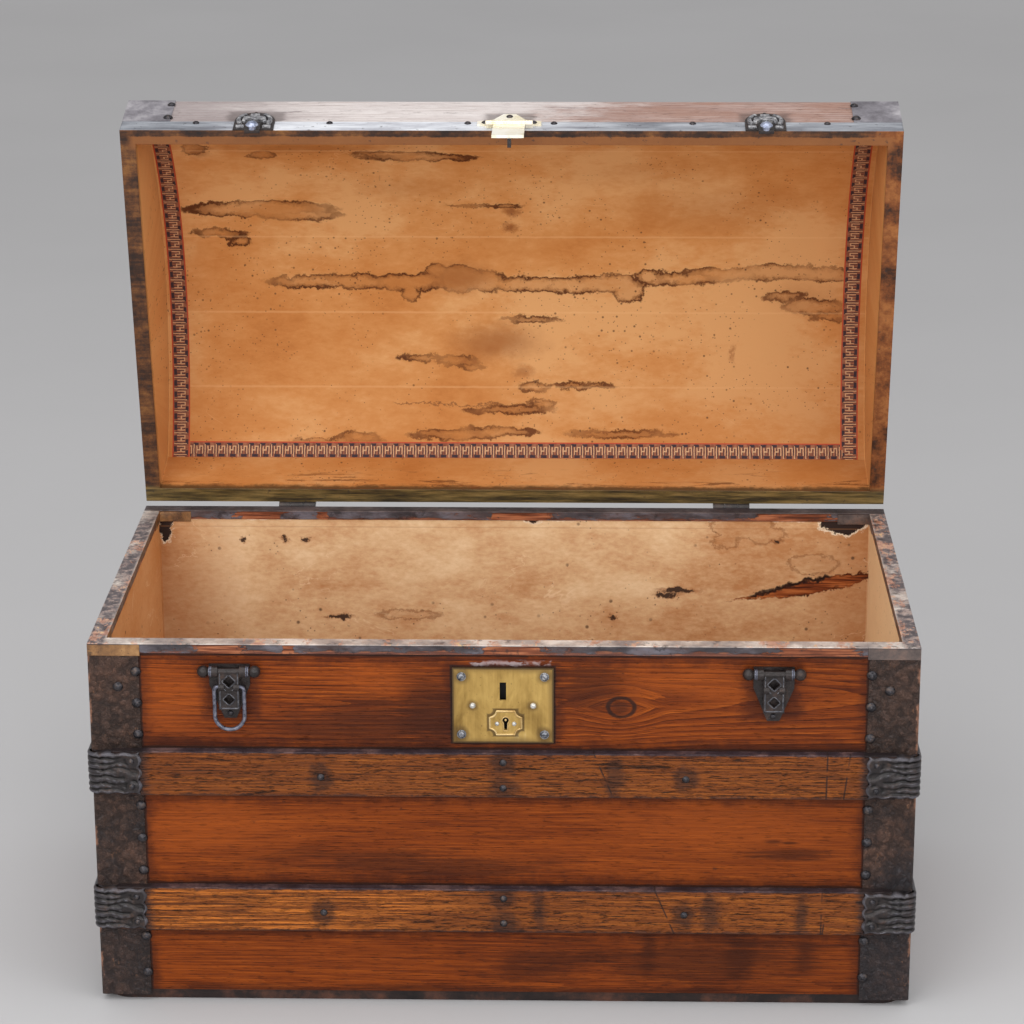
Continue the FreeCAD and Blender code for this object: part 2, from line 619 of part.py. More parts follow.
def keyhole(name, low, high):
    """A round hole with a slot below it, as a cutting tool."""
    round_part = rod(f"{name}_round", "key_radius", "y", low, high, "key_x", KEY_Z)
    slot_part = box(f"{name}_slot", middle_span("key_x", "key_radius"), (low, high),
                    (f"{KEY_Z} - key_drop", KEY_Z))
    return fuse(name, round_part, slot_part)


PLATE_CUT = past(PLATE_FRONT, FRONT)
lock_sheet = box("lock_sheet", both("lock_width / 2"), (PLATE_FRONT, FRONT),
                 middle_span(PLATE_MID, "lock_height"))
base_node("lock_plate", cut(
    "lock_plate_pierced", lock_sheet,
    box("plate_slot", both("slot_width / 2"), PLATE_CUT, middle_span(SLOT_Z, "slot_height")),
    keyhole("plate_keyhole", *PLATE_CUT)))

CASE_BACK = f"({FRONT} + case_depth)"
FLAP_BACK = f"({PLATE_FRONT} - hasp_clear)"
EYE_Y = f"({FLAP_BACK} + staple_deep - eye_wall - eye_depth / 2)"
BOLT_Y = middle_span(EYE_Y, "bolt_thick")
BOLT_Z = middle_span(SLOT_Z, "bolt_height")
BOLT_X = ("-bolt_start - bolt_length", "-bolt_start")
case_shell = cut(
    "lock_case_shell",
    box("case_outer", both("case_width / 2"), (FRONT, CASE_BACK), (CASE_LOW, CASE_TOP)),
    box("case_inner", both("case_width / 2 - case_wall"), (f"{FRONT} - {BEYOND}", f"{CASE_BACK} - case_wall"),
        (f"{CASE_LOW} + case_wall", f"{CASE_TOP} - case_wall")))
rails = [
    box(f"bolt_rail_{name}", (f"-case_width / 2 + case_wall", "-bolt_start - slide_fit"),
        (f"{BOLT_Y[0]}", f"{CASE_BACK} - case_wall"), span)
    for name, span in (
        ("low", (f"{BOLT_Z[0]} - slide_fit - case_wall", f"{BOLT_Z[0]} - slide_fit")),
        ("high", (f"{BOLT_Z[1]} + slide_fit", f"{BOLT_Z[1]} + slide_fit + case_wall")))]
key_post = rod("key_post", "post_radius", "y", PLATE_FRONT, f"{CASE_BACK} - case_wall", "key_x", KEY_Z)
base_node("lock_case", fuse("lock_case_body", case_shell, key_post, *rails))
base_node("lock_bolt", box("bolt", BOLT_X, BOLT_Y, BOLT_Z))
SPRING_LOW = f"({BOLT_Z[1]} + slide_fit + case_wall)"
base_node("lock_spring", box("spring_leaf", ("-case_width / 2 + case_wall", "-bolt_start"), BOLT_Y,
                             (SPRING_LOW, f"{SPRING_LOW} + spring_thick")))

ESCUTCHEON_FRONT = f"({PLATE_FRONT} - escutcheon_thick)"
ESCUTCHEON_MID = f"({KEY_Z} - key_drop / 2 + key_radius / 2)"
CORNERS = ((-1, -1), (1, -1), (1, 1), (-1, 1))
escutcheon_corners = []
for a, b in CORNERS:
    wide = (f"key_x + {a} * escutcheon_width / 2",
            f"{ESCUTCHEON_MID} + {b} * (escutcheon_height / 2 - escutcheon_bevel)")
    tall = (f"key_x + {a} * (escutcheon_width / 2 - escutcheon_bevel)",
            f"{ESCUTCHEON_MID} + {b} * escutcheon_height / 2")
    escutcheon_corners += [wide, tall] if a * b > 0 else [tall, wide]
escutcheon = plate("escutcheon_sheet", "XZ_Plane", escutcheon_corners, ESCUTCHEON_FRONT, PLATE_FRONT)
base_node("keyhole_escutcheon", cut(
    "escutcheon_pierced", escutcheon, keyhole("escutcheon_keyhole", *past(ESCUTCHEON_FRONT, PLATE_FRONT))))

base_node("lock_screws", *[
    head(f"lock_screw_{i}", "nail_radius", f"{a} * (lock_width / 2 - lock_nail_inset)", PLATE_FRONT,
         f"{PLATE_MID} + {b} * (lock_height / 2 - lock_nail_inset)") for i, (a, b) in enumerate(CORNERS)])
base_node("lock_rivets", *[
    head(f"plate_rivet_{side_name}", "tack_radius", f"{side} * (lock_width / 2 - lock_rivet_inset)",
         PLATE_FRONT, PLATE_MID) for side_name, side in SIDES], *[
    head(f"escutcheon_rivet_{side_name}", "tack_radius / 2",
         f"key_x + {side} * (escutcheon_width / 2 + key_radius) / 2", ESCUTCHEON_FRONT,
         f"{KEY_Z} - key_radius / 2") for side_name, side in SIDES])

# ---------------------------------------------------------------- latches

LATCH_Y = f"({FRONT} - latch_out)"
FLAP_Y = middle_span(f"{LATCH_Y} - flap_thick / 2", "flap_thick")
BAIL_Y = f"({LATCH_Y} - flap_thick / 2)"
LATCH_Z = "(base_height - latch_rim)"
BAIL_Z = f"({LATCH_Z} - bail_drop)"
LATCH_X = f"({END} - latch_inset)"
LATCH_PLATE_Y = (f"{FRONT} - latch_plate_thick", FRONT)
KNUCKLE_IN = "(flap_half + hinge_gap)"


def diamond(name, x, z, reach, low, high):
    points = ((1, 0), (0, 1), (-1, 0), (0, -1))
    corners = [(f"{x} + {a} * {reach}", f"{z} + {b} * {reach}") for a, b in points]
    return plate(name, "XZ_Plane", corners, low, high)


for side_name, side in SIDES:
    middle = f"({side} * {LATCH_X} + fitting_shift)"
    shield = plate(f"{side_name}_latch_shield", "XZ_Plane", [
        (f"{middle} - latch_plate_half", f"{LATCH_Z} + knuckle_radius"),
        (f"{middle} - latch_plate_half", f"{LATCH_Z} - latch_plate_top - bail_drop / 2"),
        (f"{middle} - latch_plate_foot", f"{LATCH_Z} - latch_plate_drop"),
        (f"{middle} + latch_plate_foot", f"{LATCH_Z} - latch_plate_drop"),
        (f"{middle} + latch_plate_half", f"{LATCH_Z} - latch_plate_top - bail_drop / 2"),
        (f"{middle} + latch_plate_half", f"{LATCH_Z} + knuckle_radius"),
    ], *LATCH_PLATE_Y)
    knuckles, bores = [], []
    for hand_name, hand in SIDES:
        near, far = sided(hand, KNUCKLE_IN, f"{KNUCKLE_IN} + knuckle_length")
        label = f"{side_name}_knuckle_{hand_name}"
        span = (f"{middle} + {near}", f"{middle} + {far}")
        knuckles.append(rod(label, "knuckle_radius", "x", *span, LATCH_Y, LATCH_Z))
        knuckles.append(box(f"{label}_foot", span, (LATCH_Y, FRONT),
                            middle_span(LATCH_Z, "2 * knuckle_radius - knuckle_foot")))
    bore = rod(f"{side_name}_latch_bore", "bar_radius + shaft_fit", "x", f"{middle} - 2 * latch_plate_half",
               f"{middle} + 2 * latch_plate_half", LATCH_Y, LATCH_Z)
    latch_blank = fuse(f"{side_name}_latch_plate_blank", shield, *knuckles)
    base_node(f"{side_name}_latch_plate", cut(f"{side_name}_latch_plate_bored", latch_blank, bore))

    flap = box(f"{side_name}_flap", (f"{middle} - flap_half", f"{middle} + flap_half"), FLAP_Y,
               (f"{LATCH_Z} - flap_drop", LATCH_Z))
    bar = rod(f"{side_name}_bar", "bar_radius", "x", f"{middle} - bar_half", f"{middle} + bar_half", LATCH_Y,
              LATCH_Z)
    balls, eyes = [], []
    for hand_name, hand in SIDES:
        balls.append(ball(f"{side_name}_ball_{hand_name}", "ball_radius", "x",
                          f"{middle} + {hand} * bar_half", LATCH_Y, LATCH_Z))
        near, far = sided(hand, "flap_half - eye_length", "flap_half")
        eyes.append(rod(f"{side_name}_eye_{hand_name}", "bail_eye", "x", f"{middle} + {near}",
                        f"{middle} + {far}", BAIL_Y, BAIL_Z))
    eye_bores = [
        rod(f"{side_name}_eye_bore_{hand_name}", "bail_wire + shaft_fit", "x",
            *[f"{middle} + {end}" for end in sided(hand, "flap_half - eye_length", f"flap_half + {BEYOND}")],
            BAIL_Y, BAIL_Z)
        for hand_name, hand in SIDES]
    tool_y = (f"{FLAP_Y[0]} - {BEYOND}", f"{FLAP_Y[1]} + 2 * {BEYOND}")
    piercings = [
        diamond(f"{side_name}_diamond_{level}", middle, f"({LATCH_Z} - pierce_{level}_drop)",
                f"pierce_{level}", *tool_y)
        for level in ("upper", "lower")]
    base_node(f"{side_name}_latch_lever", cut(
        f"{side_name}_lever_pierced", fuse(f"{side_name}_lever_blank", flap, bar, *balls, *eyes), *eye_bores,
        *piercings))

base_node("latch_rivets", *[
    head(f"{side_name}_latch_rivet", "tack_radius", f"{side} * {LATCH_X} + fitting_shift",
         f"{FRONT} - latch_plate_thick", f"{LATCH_Z} - latch_plate_drop + tack_radius + latch_plate_foot / 3")
    for side_name, side in SIDES])


def wire_loop():
    """The left bail: one wire, bent in at both ends and once round at its foot, with square corners eased."""
    read = lambda name: float(sheet.get(name))
    radius, half, length = read("bail_wire"), read("bail_half"), read("bail_length")
    inner = read("flap_half") - read("bail_grip")
    end, foot = read("bail_end_bend"), read("bail_foot_bend")
    path = [(-inner, 0), (-half, 0), (-half, -length), (half, -length), (half, 0), (inner, 0)]
    eases = [end, foot, foot, end]
    edges, start = [], Vector(path[0][0], 0, path[0][1])
    for before, corner, after, bend in zip(path, path[1:], path[2:], eases):
        corner_point = Vector(corner[0], 0, corner[1])
        back = (Vector(before[0], 0, before[1]) - corner_point).normalize()
        on = (Vector(after[0], 0, after[1]) - corner_point).normalize()
        arc_start, arc_end = corner_point + back * bend, corner_point + on * bend
        centre = corner_point + back * bend + on * bend
        middle_point = centre + (corner_point - centre).normalize() * bend
        edges.append(Part.LineSegment(start, arc_start).toShape())
        edges.append(Part.Arc(arc_start, middle_point, arc_end).toShape())
        start = arc_end
    edges.append(Part.LineSegment(start, Vector(path[-1][0], 0, path[-1][1])).toShape())
    route = Part.Wire(edges)
    section = Part.Wire([Part.Circle(edges[0].Vertexes[0].Point, Vector(1, 0, 0), radius).toShape()])
    return route.makePipeShell([section], True, False)


bail = doc.addObject("Part::Feature", "left_latch_bail_wire")
bail.Shape = wire_loop()
place(bail, f"fitting_shift - {LATCH_X}", BAIL_Y, BAIL_Z)
base_node("left_latch_bail", bail)

# ---------------------------------------------------------------- end handles

STRAP_SAG = "(handle_reach - strap_foot)"
STRAP_RADIUS = f"((handle_half ^ 2 + {STRAP_SAG} ^ 2) / (2 * {STRAP_SAG}))"


def strap(name, side):
    """A leather strap bowed away from the end board between its caps."""
    centre = f"{side} * ({END} + handle_reach - {STRAP_RADIUS})"
    span = middle_span("handle_z", "strap_width")
    bow = cut(f"{name}_bow", rod(f"{name}_outer", STRAP_RADIUS, "z", *span, centre, "0"),
              rod(f"{name}_inner", f"{STRAP_RADIUS} - strap_thick", "z", f"{span[0]} - {BEYOND}",
                  f"{span[1]} + {BEYOND}", centre, "0"))
    space = box(f"{name}_space", sided(side, END, f"{END} + 2 * handle_reach"), both("handle_half"), span)
    return common(name, bow, space)


straps = {side_name: strap(f"strap_{side_name}", side) for side_name, side in SIDES}
base_node("handle_straps", *straps.values())
handle_caps = []
for side_name, side in SIDES:
    for face_name, face in FACES:
        label = f"{side_name}_{face_name}"
        block = box(f"handle_cap_{label}_block", sided(side, END, f"{END} + handle_cap_thick"),
                    sided(face, "handle_half - handle_cap_length / 2", "handle_half + handle_cap_length / 2"),
                    middle_span("handle_z", "handle_cap_height"))
        handle_caps.append(cut(f"handle_cap_{label}", block, strap(f"cap_strap_{label}", side)))
base_node("handle_caps", *handle_caps)

# ---------------------------------------------------------------- hinges

LEAF_NEAR = f"({BACK} + sheet_metal)"
LEAF_FAR = f"({LEAF_NEAR} + leaf_thick)"
KNUCKLE_ROOM = "(hinge_knuckle + hinge_gap)"
STOP_TOP = f"({HINGE_Z} + (hinge_out - sheet_metal - leaf_thick - stop_gap) / sin(lid_open))"


def hinge_piece(name, middle, half, near, far, z_low, z_high):
    return box(name, (f"{middle} - ({half})", f"{middle} + ({half})"), (near, far), (z_low, z_high))


for side_name, side in SIDES:
    middle = f"({side} * {HINGE_X})"
    half, mid_half = "hinge_width / 2", "hinge_middle / 2"
    lower = hinge_piece(f"{side_name}_leaf_low", middle, half, BACK, f"{BACK} + leaf_thick",
                        "base_height - hinge_leaf", "base_height - rim_lip")
    upper = hinge_piece(f"{side_name}_leaf_up", middle, half, LEAF_NEAR, LEAF_FAR,
                        "base_height - rim_lip - leaf_thick", "base_height")
    knuckle_room = hinge_piece(f"{side_name}_leaf_room", middle, f"{mid_half} + hinge_gap", LEAF_NEAR,
                         f"{LEAF_FAR} + {BEYOND}", f"{HINGE_Z} - {KNUCKLE_ROOM}", f"{HINGE_Z} + {BEYOND}")
    outer_knuckles, stops = [], []
    for hand_name, hand in SIDES:
        near, far = sided(hand, f"{mid_half} + hinge_gap", half)
        span = (f"{middle} + {near}", f"{middle} + {far}")
        outer_knuckles.append(rod(f"{side_name}_base_knuckle_{hand_name}", "hinge_knuckle", "x", *span,
                                  HINGE_Y, HINGE_Z))
        stops.append(plate(f"{side_name}_stop_{hand_name}", "YZ_Plane", [
            (HINGE_Y, f"({HINGE_Z} - hinge_knuckle)"),
            (f"{HINGE_Y} + stop_reach", HINGE_Z),
            (f"{HINGE_Y} + stop_reach", f"{STOP_TOP} + stop_reach / tan(lid_open)"),
            (HINGE_Y, STOP_TOP),
        ], *span))
    pin_bore = rod(f"{side_name}_base_bore", "hinge_pin + shaft_fit", "x", f"{middle} - hinge_width",
                   f"{middle} + hinge_width", HINGE_Y, HINGE_Z)
    base_node(f"{side_name}_hinge_base_leaf", cut(
        f"{side_name}_base_leaf", fuse(f"{side_name}_base_blank", cut(
            f"{side_name}_base_sheet", fuse(f"{side_name}_base_plates", lower, upper), knuckle_room),
            *outer_knuckles, *stops), pin_bore))

    lid_low = f"({LID_Z} + band_height)"
    low_part = hinge_piece(f"{side_name}_lid_leaf_low", middle, half, LEAF_NEAR, LEAF_FAR, LID_Z,
                           f"{lid_low} + leaf_thick")
    high_part = hinge_piece(f"{side_name}_lid_leaf_up", middle, half, BACK, f"{BACK} + leaf_thick", lid_low,
                            f"{LID_Z} + hinge_leaf")
    rooms = []
    for hand_name, hand in SIDES:
        near, far = sided(hand, mid_half, f"{half} + {BEYOND}")
        rooms.append(box(f"{side_name}_lid_room_{hand_name}", (f"{middle} + {near}", f"{middle} + {far}"),
                         (f"{LEAF_NEAR} - hinge_gap", f"{LEAF_FAR} + {BEYOND}"),
                         (f"{LID_Z} - {BEYOND}", f"{HINGE_Z} + {KNUCKLE_ROOM}")))
    lid_knuckle = rod(f"{side_name}_lid_knuckle", "hinge_knuckle", "x", f"{middle} - {mid_half}",
                      f"{middle} + {mid_half}", HINGE_Y, HINGE_Z)
    lid_bore = rod(f"{side_name}_lid_bore", "hinge_pin + shaft_fit", "x", f"{middle} - hinge_width",
                   f"{middle} + hinge_width", HINGE_Y, HINGE_Z)
    lid_node(f"{side_name}_hinge_lid_leaf", cut(
        f"{side_name}_lid_leaf", fuse(f"{side_name}_lid_blank", cut(
            f"{side_name}_lid_sheet", fuse(f"{side_name}_lid_plates", low_part, high_part), *rooms),
            lid_knuckle), lid_bore))

base_node("hinge_pins", *[
    rod(f"{side_name}_hinge_pin", "hinge_pin", "x", f"{side} * {HINGE_X} - hinge_width / 2",
        f"{side} * {HINGE_X} + hinge_width / 2", HINGE_Y, HINGE_Z) for side_name, side in SIDES])

# ---------------------------------------------------------------- lid: boards and dome


def arc_shell(name, outside, inside, start, sweep, low, high):
    """Part of a tube along X about the dome's axis, from a start angle above the back horizon."""
    outer = rod(f"{name}_outer", outside, "x", low, high, "0", "0")
    bind(outer, "Angle", sweep)
    inner = rod(f"{name}_inner", inside, "x", f"({low}) - {BEYOND}", f"({high}) + {BEYOND}", "0", "0")
    shell = cut(name, outer, inner)
    shell.Placement = FreeCAD.Placement(Vector(), Rotation(Vector(1, 0, 0), 1))
    bind(shell, "Placement.Rotation.Angle", start)
    bind(shell, "Placement.Base.z", DOME_Z)
    return shell


THROUGH = past(f"-{END}", END)
LID_RISE = (LID_BOARD_Z, f"{LID_Z} + lid_wall + dome_rise")
for face_name, face in FACES:
    board_box = box(f"lid_{face_name}_blank", both(END), sided(face, LINED_Y, BACK),
                    (LID_BOARD_Z, f"{LID_Z} + lid_wall"))
    dome = arc_shell(f"lid_{face_name}_dome", DOME_RADIUS, DOME_INSIDE, DOME_START, DOME_SWEEP, *THROUGH)
    lid_node(f"lid_{face_name}_board", cut(f"lid_{face_name}", board_box, dome))


def under_dome(name, piece, radius, low, high):
    """The part of a piece that lies inside a tube about the dome's axis."""
    return common(name, piece, rod(f"{name}_tube", radius, "x", low, high, "0", DOME_Z))


for side_name, side in SIDES:
    arch = box(f"lid_{side_name}_blank", sided(side, LINED_X, END), both(LINED_Y), LID_RISE)
    lid_node(f"lid_{side_name}_end", under_dome(f"lid_{side_name}", arch, DOME_INSIDE, *THROUGH))

STAVES = int(sheet.get("stave_count"))
STAVE_SWEEP = f"({DOME_SWEEP} / {STAVES})"
lid_node("dome_staves", *[
    arc_shell(f"stave_{i}", DOME_RADIUS, DOME_INSIDE, f"{DOME_START} + {i} * {STAVE_SWEEP}", STAVE_SWEEP,
              f"-{END}", END) for i in range(STAVES)])

LINING_INSIDE = f"({DOME_INSIDE} - paper)"
LINING_SHOULDER = f"({DOME_Z} + sqrt({LINING_INSIDE} ^ 2 - {LINED_Y} ^ 2))"
lid_lining = []
for face_name, face in FACES:
    lid_lining.append(box(f"lid_lining_{face_name}", both(LINED_X),
                          sided(face, f"{LINED_Y} - paper", LINED_Y), (LID_BOARD_Z, LINING_SHOULDER)))
for side_name, side in SIDES:
    sheet_box = box(f"lid_lining_{side_name}_blank", sided(side, f"{LINED_X} - paper", LINED_X),
                    both(f"{LINED_Y} - paper"), LID_RISE)
    lid_lining.append(under_dome(f"lid_lining_{side_name}", sheet_box, LINING_INSIDE, f"-{END}", END))
dome_paper = arc_shell("dome_paper", DOME_INSIDE, LINING_INSIDE, DOME_START, DOME_SWEEP, *both(LINED_X))
dome_space = box("dome_paper_space", both(LINED_X), both(LINED_Y), LID_RISE)
lid_lining.append(common("lid_lining_dome", dome_paper, dome_space))
lid_node("lid_lining", *lid_lining)

# Border strips lie on the dome's lining, one along each edge of it.
BORDER_OUTSIDE = f"({LINING_INSIDE} - border_paste)"
BORDER_INSIDE = f"({BORDER_OUTSIDE} - border_thick)"
BAND_TOP = f"({DOME_RADIUS} + sheet_metal)"
BORDER_FAR = f"({LINED_X} - paper - border_inset)"
EDGE_START = f"(acos(({LINED_Y} - paper) / {LINING_INSIDE}) / 1 deg + 1)"
BORDER_SWEEP = f"(border_width / {LINING_INSIDE} * 180 / pi)"
borders = [
    arc_shell(f"border_{side_name}", BORDER_OUTSIDE, BORDER_INSIDE, EDGE_START,
              f"180 - 2 * ({EDGE_START})", *sided(side, f"{BORDER_FAR} - border_width", BORDER_FAR))
    for side_name, side in SIDES]
ALONG_EDGE = both(f"{BORDER_FAR} - border_width")
for face_name, start in (("back", EDGE_START), ("front", f"180 - {EDGE_START} - {BORDER_SWEEP}")):
    borders.append(arc_shell(f"border_{face_name}", BORDER_OUTSIDE, BORDER_INSIDE, start, BORDER_SWEEP,
                             *ALONG_EDGE))
lid_node("lid_border", *borders)

# ---------------------------------------------------------------- lid: metal and slats

band_outer = box("lid_band_outer", both(f"{END} + sheet_metal"), both(f"{BACK} + sheet_metal"),
                 (LID_Z, f"{LID_Z} + band_height"))
band_wall = box("lid_band_wall", both(END), both(BACK), (LID_BOARD_Z, f"{LID_Z} + band_height + {BEYOND}"))
band_hole = box("lid_band_hole", both(f"{LINED_X} - paper"), both(f"{LINED_Y} - paper"),
                (f"{LID_Z} - {BEYOND}", f"{LID_Z} + band_height"))
lid_node("lid_rim_band", cut("lid_band", band_outer, band_wall, band_hole))

lid_node("lid_corner_plates", *[
    corner_plate(f"lid_corner_{face_name}_{side_name}", side, face, f"({LID_Z} + band_height)",
                 f"({LID_Z} + lid_wall)")
    for face_name, face in FACES for side_name, side in SIDES])

lid_node("dome_end_bands", *[
    arc_shell(f"dome_band_{side_name}", BAND_TOP, DOME_RADIUS, f"{DOME_START} + band_ease",
              f"{DOME_SWEEP} - 2 * band_ease", *sided(side, f"{END} - end_band_width", END))
    for side_name, side in SIDES])


# A slat covers each seam between two staves, and a clamp holds each of its ends.
def on_dome(item, seam):
    """Lays a piece, built on top of a level dome about the origin, over one of the seams."""
    item.Placement = FreeCAD.Placement(Vector(), Rotation(Vector(1, 0, 0), 1))
    bind(item, "Placement.Rotation.Angle", f"{DOME_START} + {seam} * {STAVE_SWEEP} - 90")
    bind(item, "Placement.Base.z", DOME_Z)
    return item


DOME_NAILS = ("-slat_nail_x", "0", "slat_nail_x")
SLAT_TOP = f"({BAND_TOP} + slat_thick)"
dome_slats, dome_clamps, dome_nails = [], [], []
for seam in range(1, STAVES):
    bar = box(f"dome_slat_bar_{seam}", both(SLAT_END), both("slat_width / 2"),
              (f"{DOME_RADIUS} - sheet_metal", SLAT_TOP))
    bed = rod(f"dome_slat_bed_{seam}", DOME_RADIUS, "x", f"-{END}", END, "0", "0")
    rebates = [
        rod(f"dome_slat_rebate_{seam}_{side_name}", BAND_TOP, "x",
            *sided(side, f"{END} - end_band_width", f"{END} + {BEYOND}"), "0", "0")
        for side_name, side in SIDES]
    dome_slats.append(on_dome(cut(f"dome_slat_{seam}", bar, bed, *rebates), seam))
    for side_name, side in SIDES:
        outline = clamp_outline(side, 1, BAND_TOP, "0", "0")
        casting = plate(f"dome_clamp_body_{seam}_{side_name}", "XZ_Plane", outline, *both("clamp_height / 2"))
        dome_clamps.append(on_dome(group(f"dome_clamp_{seam}_{side_name}", [casting]), seam))
    dome_nails.append(on_dome(group(f"dome_nails_{seam}", [
        head(f"dome_nail_{seam}_{i}", "tack_radius", nail_x, "0", SLAT_TOP, "z")
        for i, nail_x in enumerate(DOME_NAILS)]), seam))
lid_node("dome_slats", *dome_slats)
lid_node("dome_slat_clamps", *dome_clamps)

BAND_FRONT = f"({FRONT} - sheet_metal)"
BAND_NAILS = (f"{END} - band_nail_end", f"{END} - band_nail_next", "band_nail_middle")
LID_CORNER_NAILS = ("lid_wall - lid_nail_high", "band_height + lid_nail_low")
lid_nails = list(dome_nails)
for face_name, face in FACES:
    toward = "-y" if face < 0 else "y"
    for side_name, side in SIDES:
        label = f"lid_nail_{face_name}_{side_name}"
        for i, nail_x in enumerate(BAND_NAILS):
            lid_nails.append(head(f"{label}_{i}", "tack_radius", f"{side} * ({nail_x})",
                                  f"{face} * ({BACK} + sheet_metal)", f"{LID_Z} + band_nail_rise", toward))
        for i, rise in enumerate(LID_CORNER_NAILS):
            lid_nails.append(head(f"{label}_corner_{i}", "nail_radius", f"{side} * ({END} - nail_inset)",
                                  f"{face} * ({BACK} + corner_thick)", f"{LID_Z} + {rise}", toward))

# ---------------------------------------------------------------- lid: catches

CATCH_FRONT = f"({BAND_FRONT} - catch_clear - catch_thick)"
CATCH_Y = (CATCH_FRONT, BAND_FRONT)
NOSE_Z = f"({LID_Z} - nose_drop)"
for side_name, side in SIDES:
    middle = f"({side} * {LATCH_X} + fitting_shift)"
    arch_z = f"({LID_Z} + catch_height - catch_radius)"
    arch = rod(f"{side_name}_catch_arch", "catch_radius", "y", *CATCH_Y, middle, arch_z)
    skirt = box(f"{side_name}_catch_skirt", (f"{middle} - catch_radius", f"{middle} + catch_radius"), CATCH_Y,
                (LID_Z, arch_z))
    tongue = box(f"{side_name}_catch_tongue", (f"{middle} - tongue_half", f"{middle} + tongue_half"),
                 (CATCH_FRONT, f"{CATCH_FRONT} + catch_thick"),
                 (f"{LID_Z} - tongue_drop", f"{LID_Z} + {BEYOND}"))
    neck = rod(f"{side_name}_nose_neck", "nose_neck", "y", f"{CATCH_FRONT} - nose_neck_length", CATCH_FRONT,
               middle, NOSE_Z)
    nose = head(f"{side_name}_nose", "nose_radius", middle, f"{CATCH_FRONT} - nose_neck_length", NOSE_Z)
    slots = [
        box(f"{side_name}_catch_slot_{hand_name}",
            middle_span(f"{middle} + {hand} * catch_slot_x", "catch_slot_width"),
            past(CATCH_FRONT, BAND_FRONT), (arch_z, f"{arch_z} + catch_slot_height"))
        for hand_name, hand in SIDES]
    catch_blank = fuse(f"{side_name}_catch_blank", arch, skirt, tongue, neck, nose)
    lid_node(f"{side_name}_latch_catch", cut(f"{side_name}_catch_pierced", catch_blank, *slots))

# ---------------------------------------------------------------- hasp

MOUNT_FRONT = f"({BAND_FRONT} - mount_thick)"
KNUCKLE_END = "(hasp_half + hinge_gap + mount_knuckle)"
mount_sheet = plate("hasp_mount_sheet", "XZ_Plane", [
    (f"fitting_shift + {a} * {x}", f"{LID_Z} + {z}") for a, x, z in (
        (-1, "mount_half", "mount_foot"), (1, "mount_half", "mount_foot"), (1, "mount_half", "mount_arm"),
        (1, "mount_half / 2", "mount_shoulder"), (1, "mount_half / 5", "mount_peak"),
        (-1, "mount_half / 5", "mount_peak"), (-1, "mount_half / 2", "mount_shoulder"),
        (-1, "mount_half", "mount_arm"))], MOUNT_FRONT, BAND_FRONT)
mount_parts = [mount_sheet]
for hand_name, hand in SIDES:
    near, far = sided(hand, "hasp_half + hinge_gap", KNUCKLE_END)
    span = (f"fitting_shift + {near}", f"fitting_shift + {far}")
    mount_parts.append(rod(f"mount_knuckle_{hand_name}", "hasp_knuckle", "x", *span, HASP_Y, HASP_Z))
    mount_parts.append(box(f"mount_arm_{hand_name}", span,
                           (f"{HASP_Y} + hasp_knuckle - mount_thick", BAND_FRONT),
                           (HASP_Z, f"{LID_Z} + mount_foot + mount_thick")))
HASP_SPAN = (f"fitting_shift - {KNUCKLE_END}", f"fitting_shift + {KNUCKLE_END}")


def hasp_bore(name):
    return rod(name, "hasp_pin + shaft_fit", "x", *HASP_SPAN, HASP_Y, HASP_Z)


mount_blank = fuse("hasp_mount_blank", *mount_parts)
lid_node("hasp_mount", cut("hasp_mount_bored", mount_blank, hasp_bore("mount_bore")))
lid_node("hasp_pin", rod("hasp_pin_rod", "hasp_pin", "x", *HASP_SPAN, HASP_Y, HASP_Z))
MOUNT_SCREWS = (
    ("0", "mount_peak - mount_screw_drop"), ("mount_screw_in - mount_half", "mount_foot + mount_screw_rise"),
    ("mount_half - mount_screw_in", "mount_foot + mount_screw_rise"),
)
lid_nails += [
    head(f"mount_screw_{i}", "tack_radius", f"fitting_shift + {x}", MOUNT_FRONT, f"{LID_Z} + {z}")
    for i, (x, z) in enumerate(MOUNT_SCREWS)]
lid_node("lid_nails", *lid_nails)


def hasp_node(name, piece):
    """A piece of the hasp, built hanging shut, turned out to its rest and swung open with the lid."""
    turned = swing(group(name + "_turned", [piece]), "-hasp_rest", HASP_Y, HASP_Z)
    return lid_node(name, turned)


flap_sheet = box("hasp_flap_sheet", ("fitting_shift - hasp_half", "fitting_shift + hasp_half"),
                 (f"{FLAP_BACK} - hasp_thick", FLAP_BACK), (f"{HASP_Z} - hasp_length", HASP_Z))
flap_knuckle = rod("hasp_flap_knuckle", "hasp_knuckle", "x", "fitting_shift - hasp_half",
                   "fitting_shift + hasp_half", HASP_Y, HASP_Z)
hasp_node("hasp_flap", cut("hasp_flap_bored", fuse("hasp_flap_blank", flap_sheet, flap_knuckle),
                           hasp_bore("flap_bore")))
staple_block = box("staple_block", both("staple_thick / 2"), (FLAP_BACK, f"{FLAP_BACK} + staple_deep"),
                   middle_span(SLOT_Z, "staple_height"))
staple_eye = box("staple_eye", both("staple_thick"), middle_span(EYE_Y, "eye_depth"),
                 middle_span(SLOT_Z, "eye_height"))
hasp_node("hasp_staple", cut("staple", staple_block, staple_eye))

# ---------------------------------------------------------------- check and export

doc.recompute()
failed = [item.Name for item in doc.Objects if "Invalid" in item.State or "Error" in item.State]
if failed:
    raise RuntimeError("these objects did not compute: " + ", ".join(failed))
for item in nodes:
    if item.Shape.isNull() or not item.Shape.isValid() or not item.Shape.Solids:
        raise RuntimeError(item.Label + " has no valid solid")

os.makedirs("parts", exist_ok=True)
for item in nodes:
    item.Shape.exportStep(f"parts/{item.Label}.step")
    print(f"{item.Label}: {len(item.Shape.Solids)} solids, {item.Shape.Volume / 1000:.1f} cm3")
print(len(nodes), "nodes")
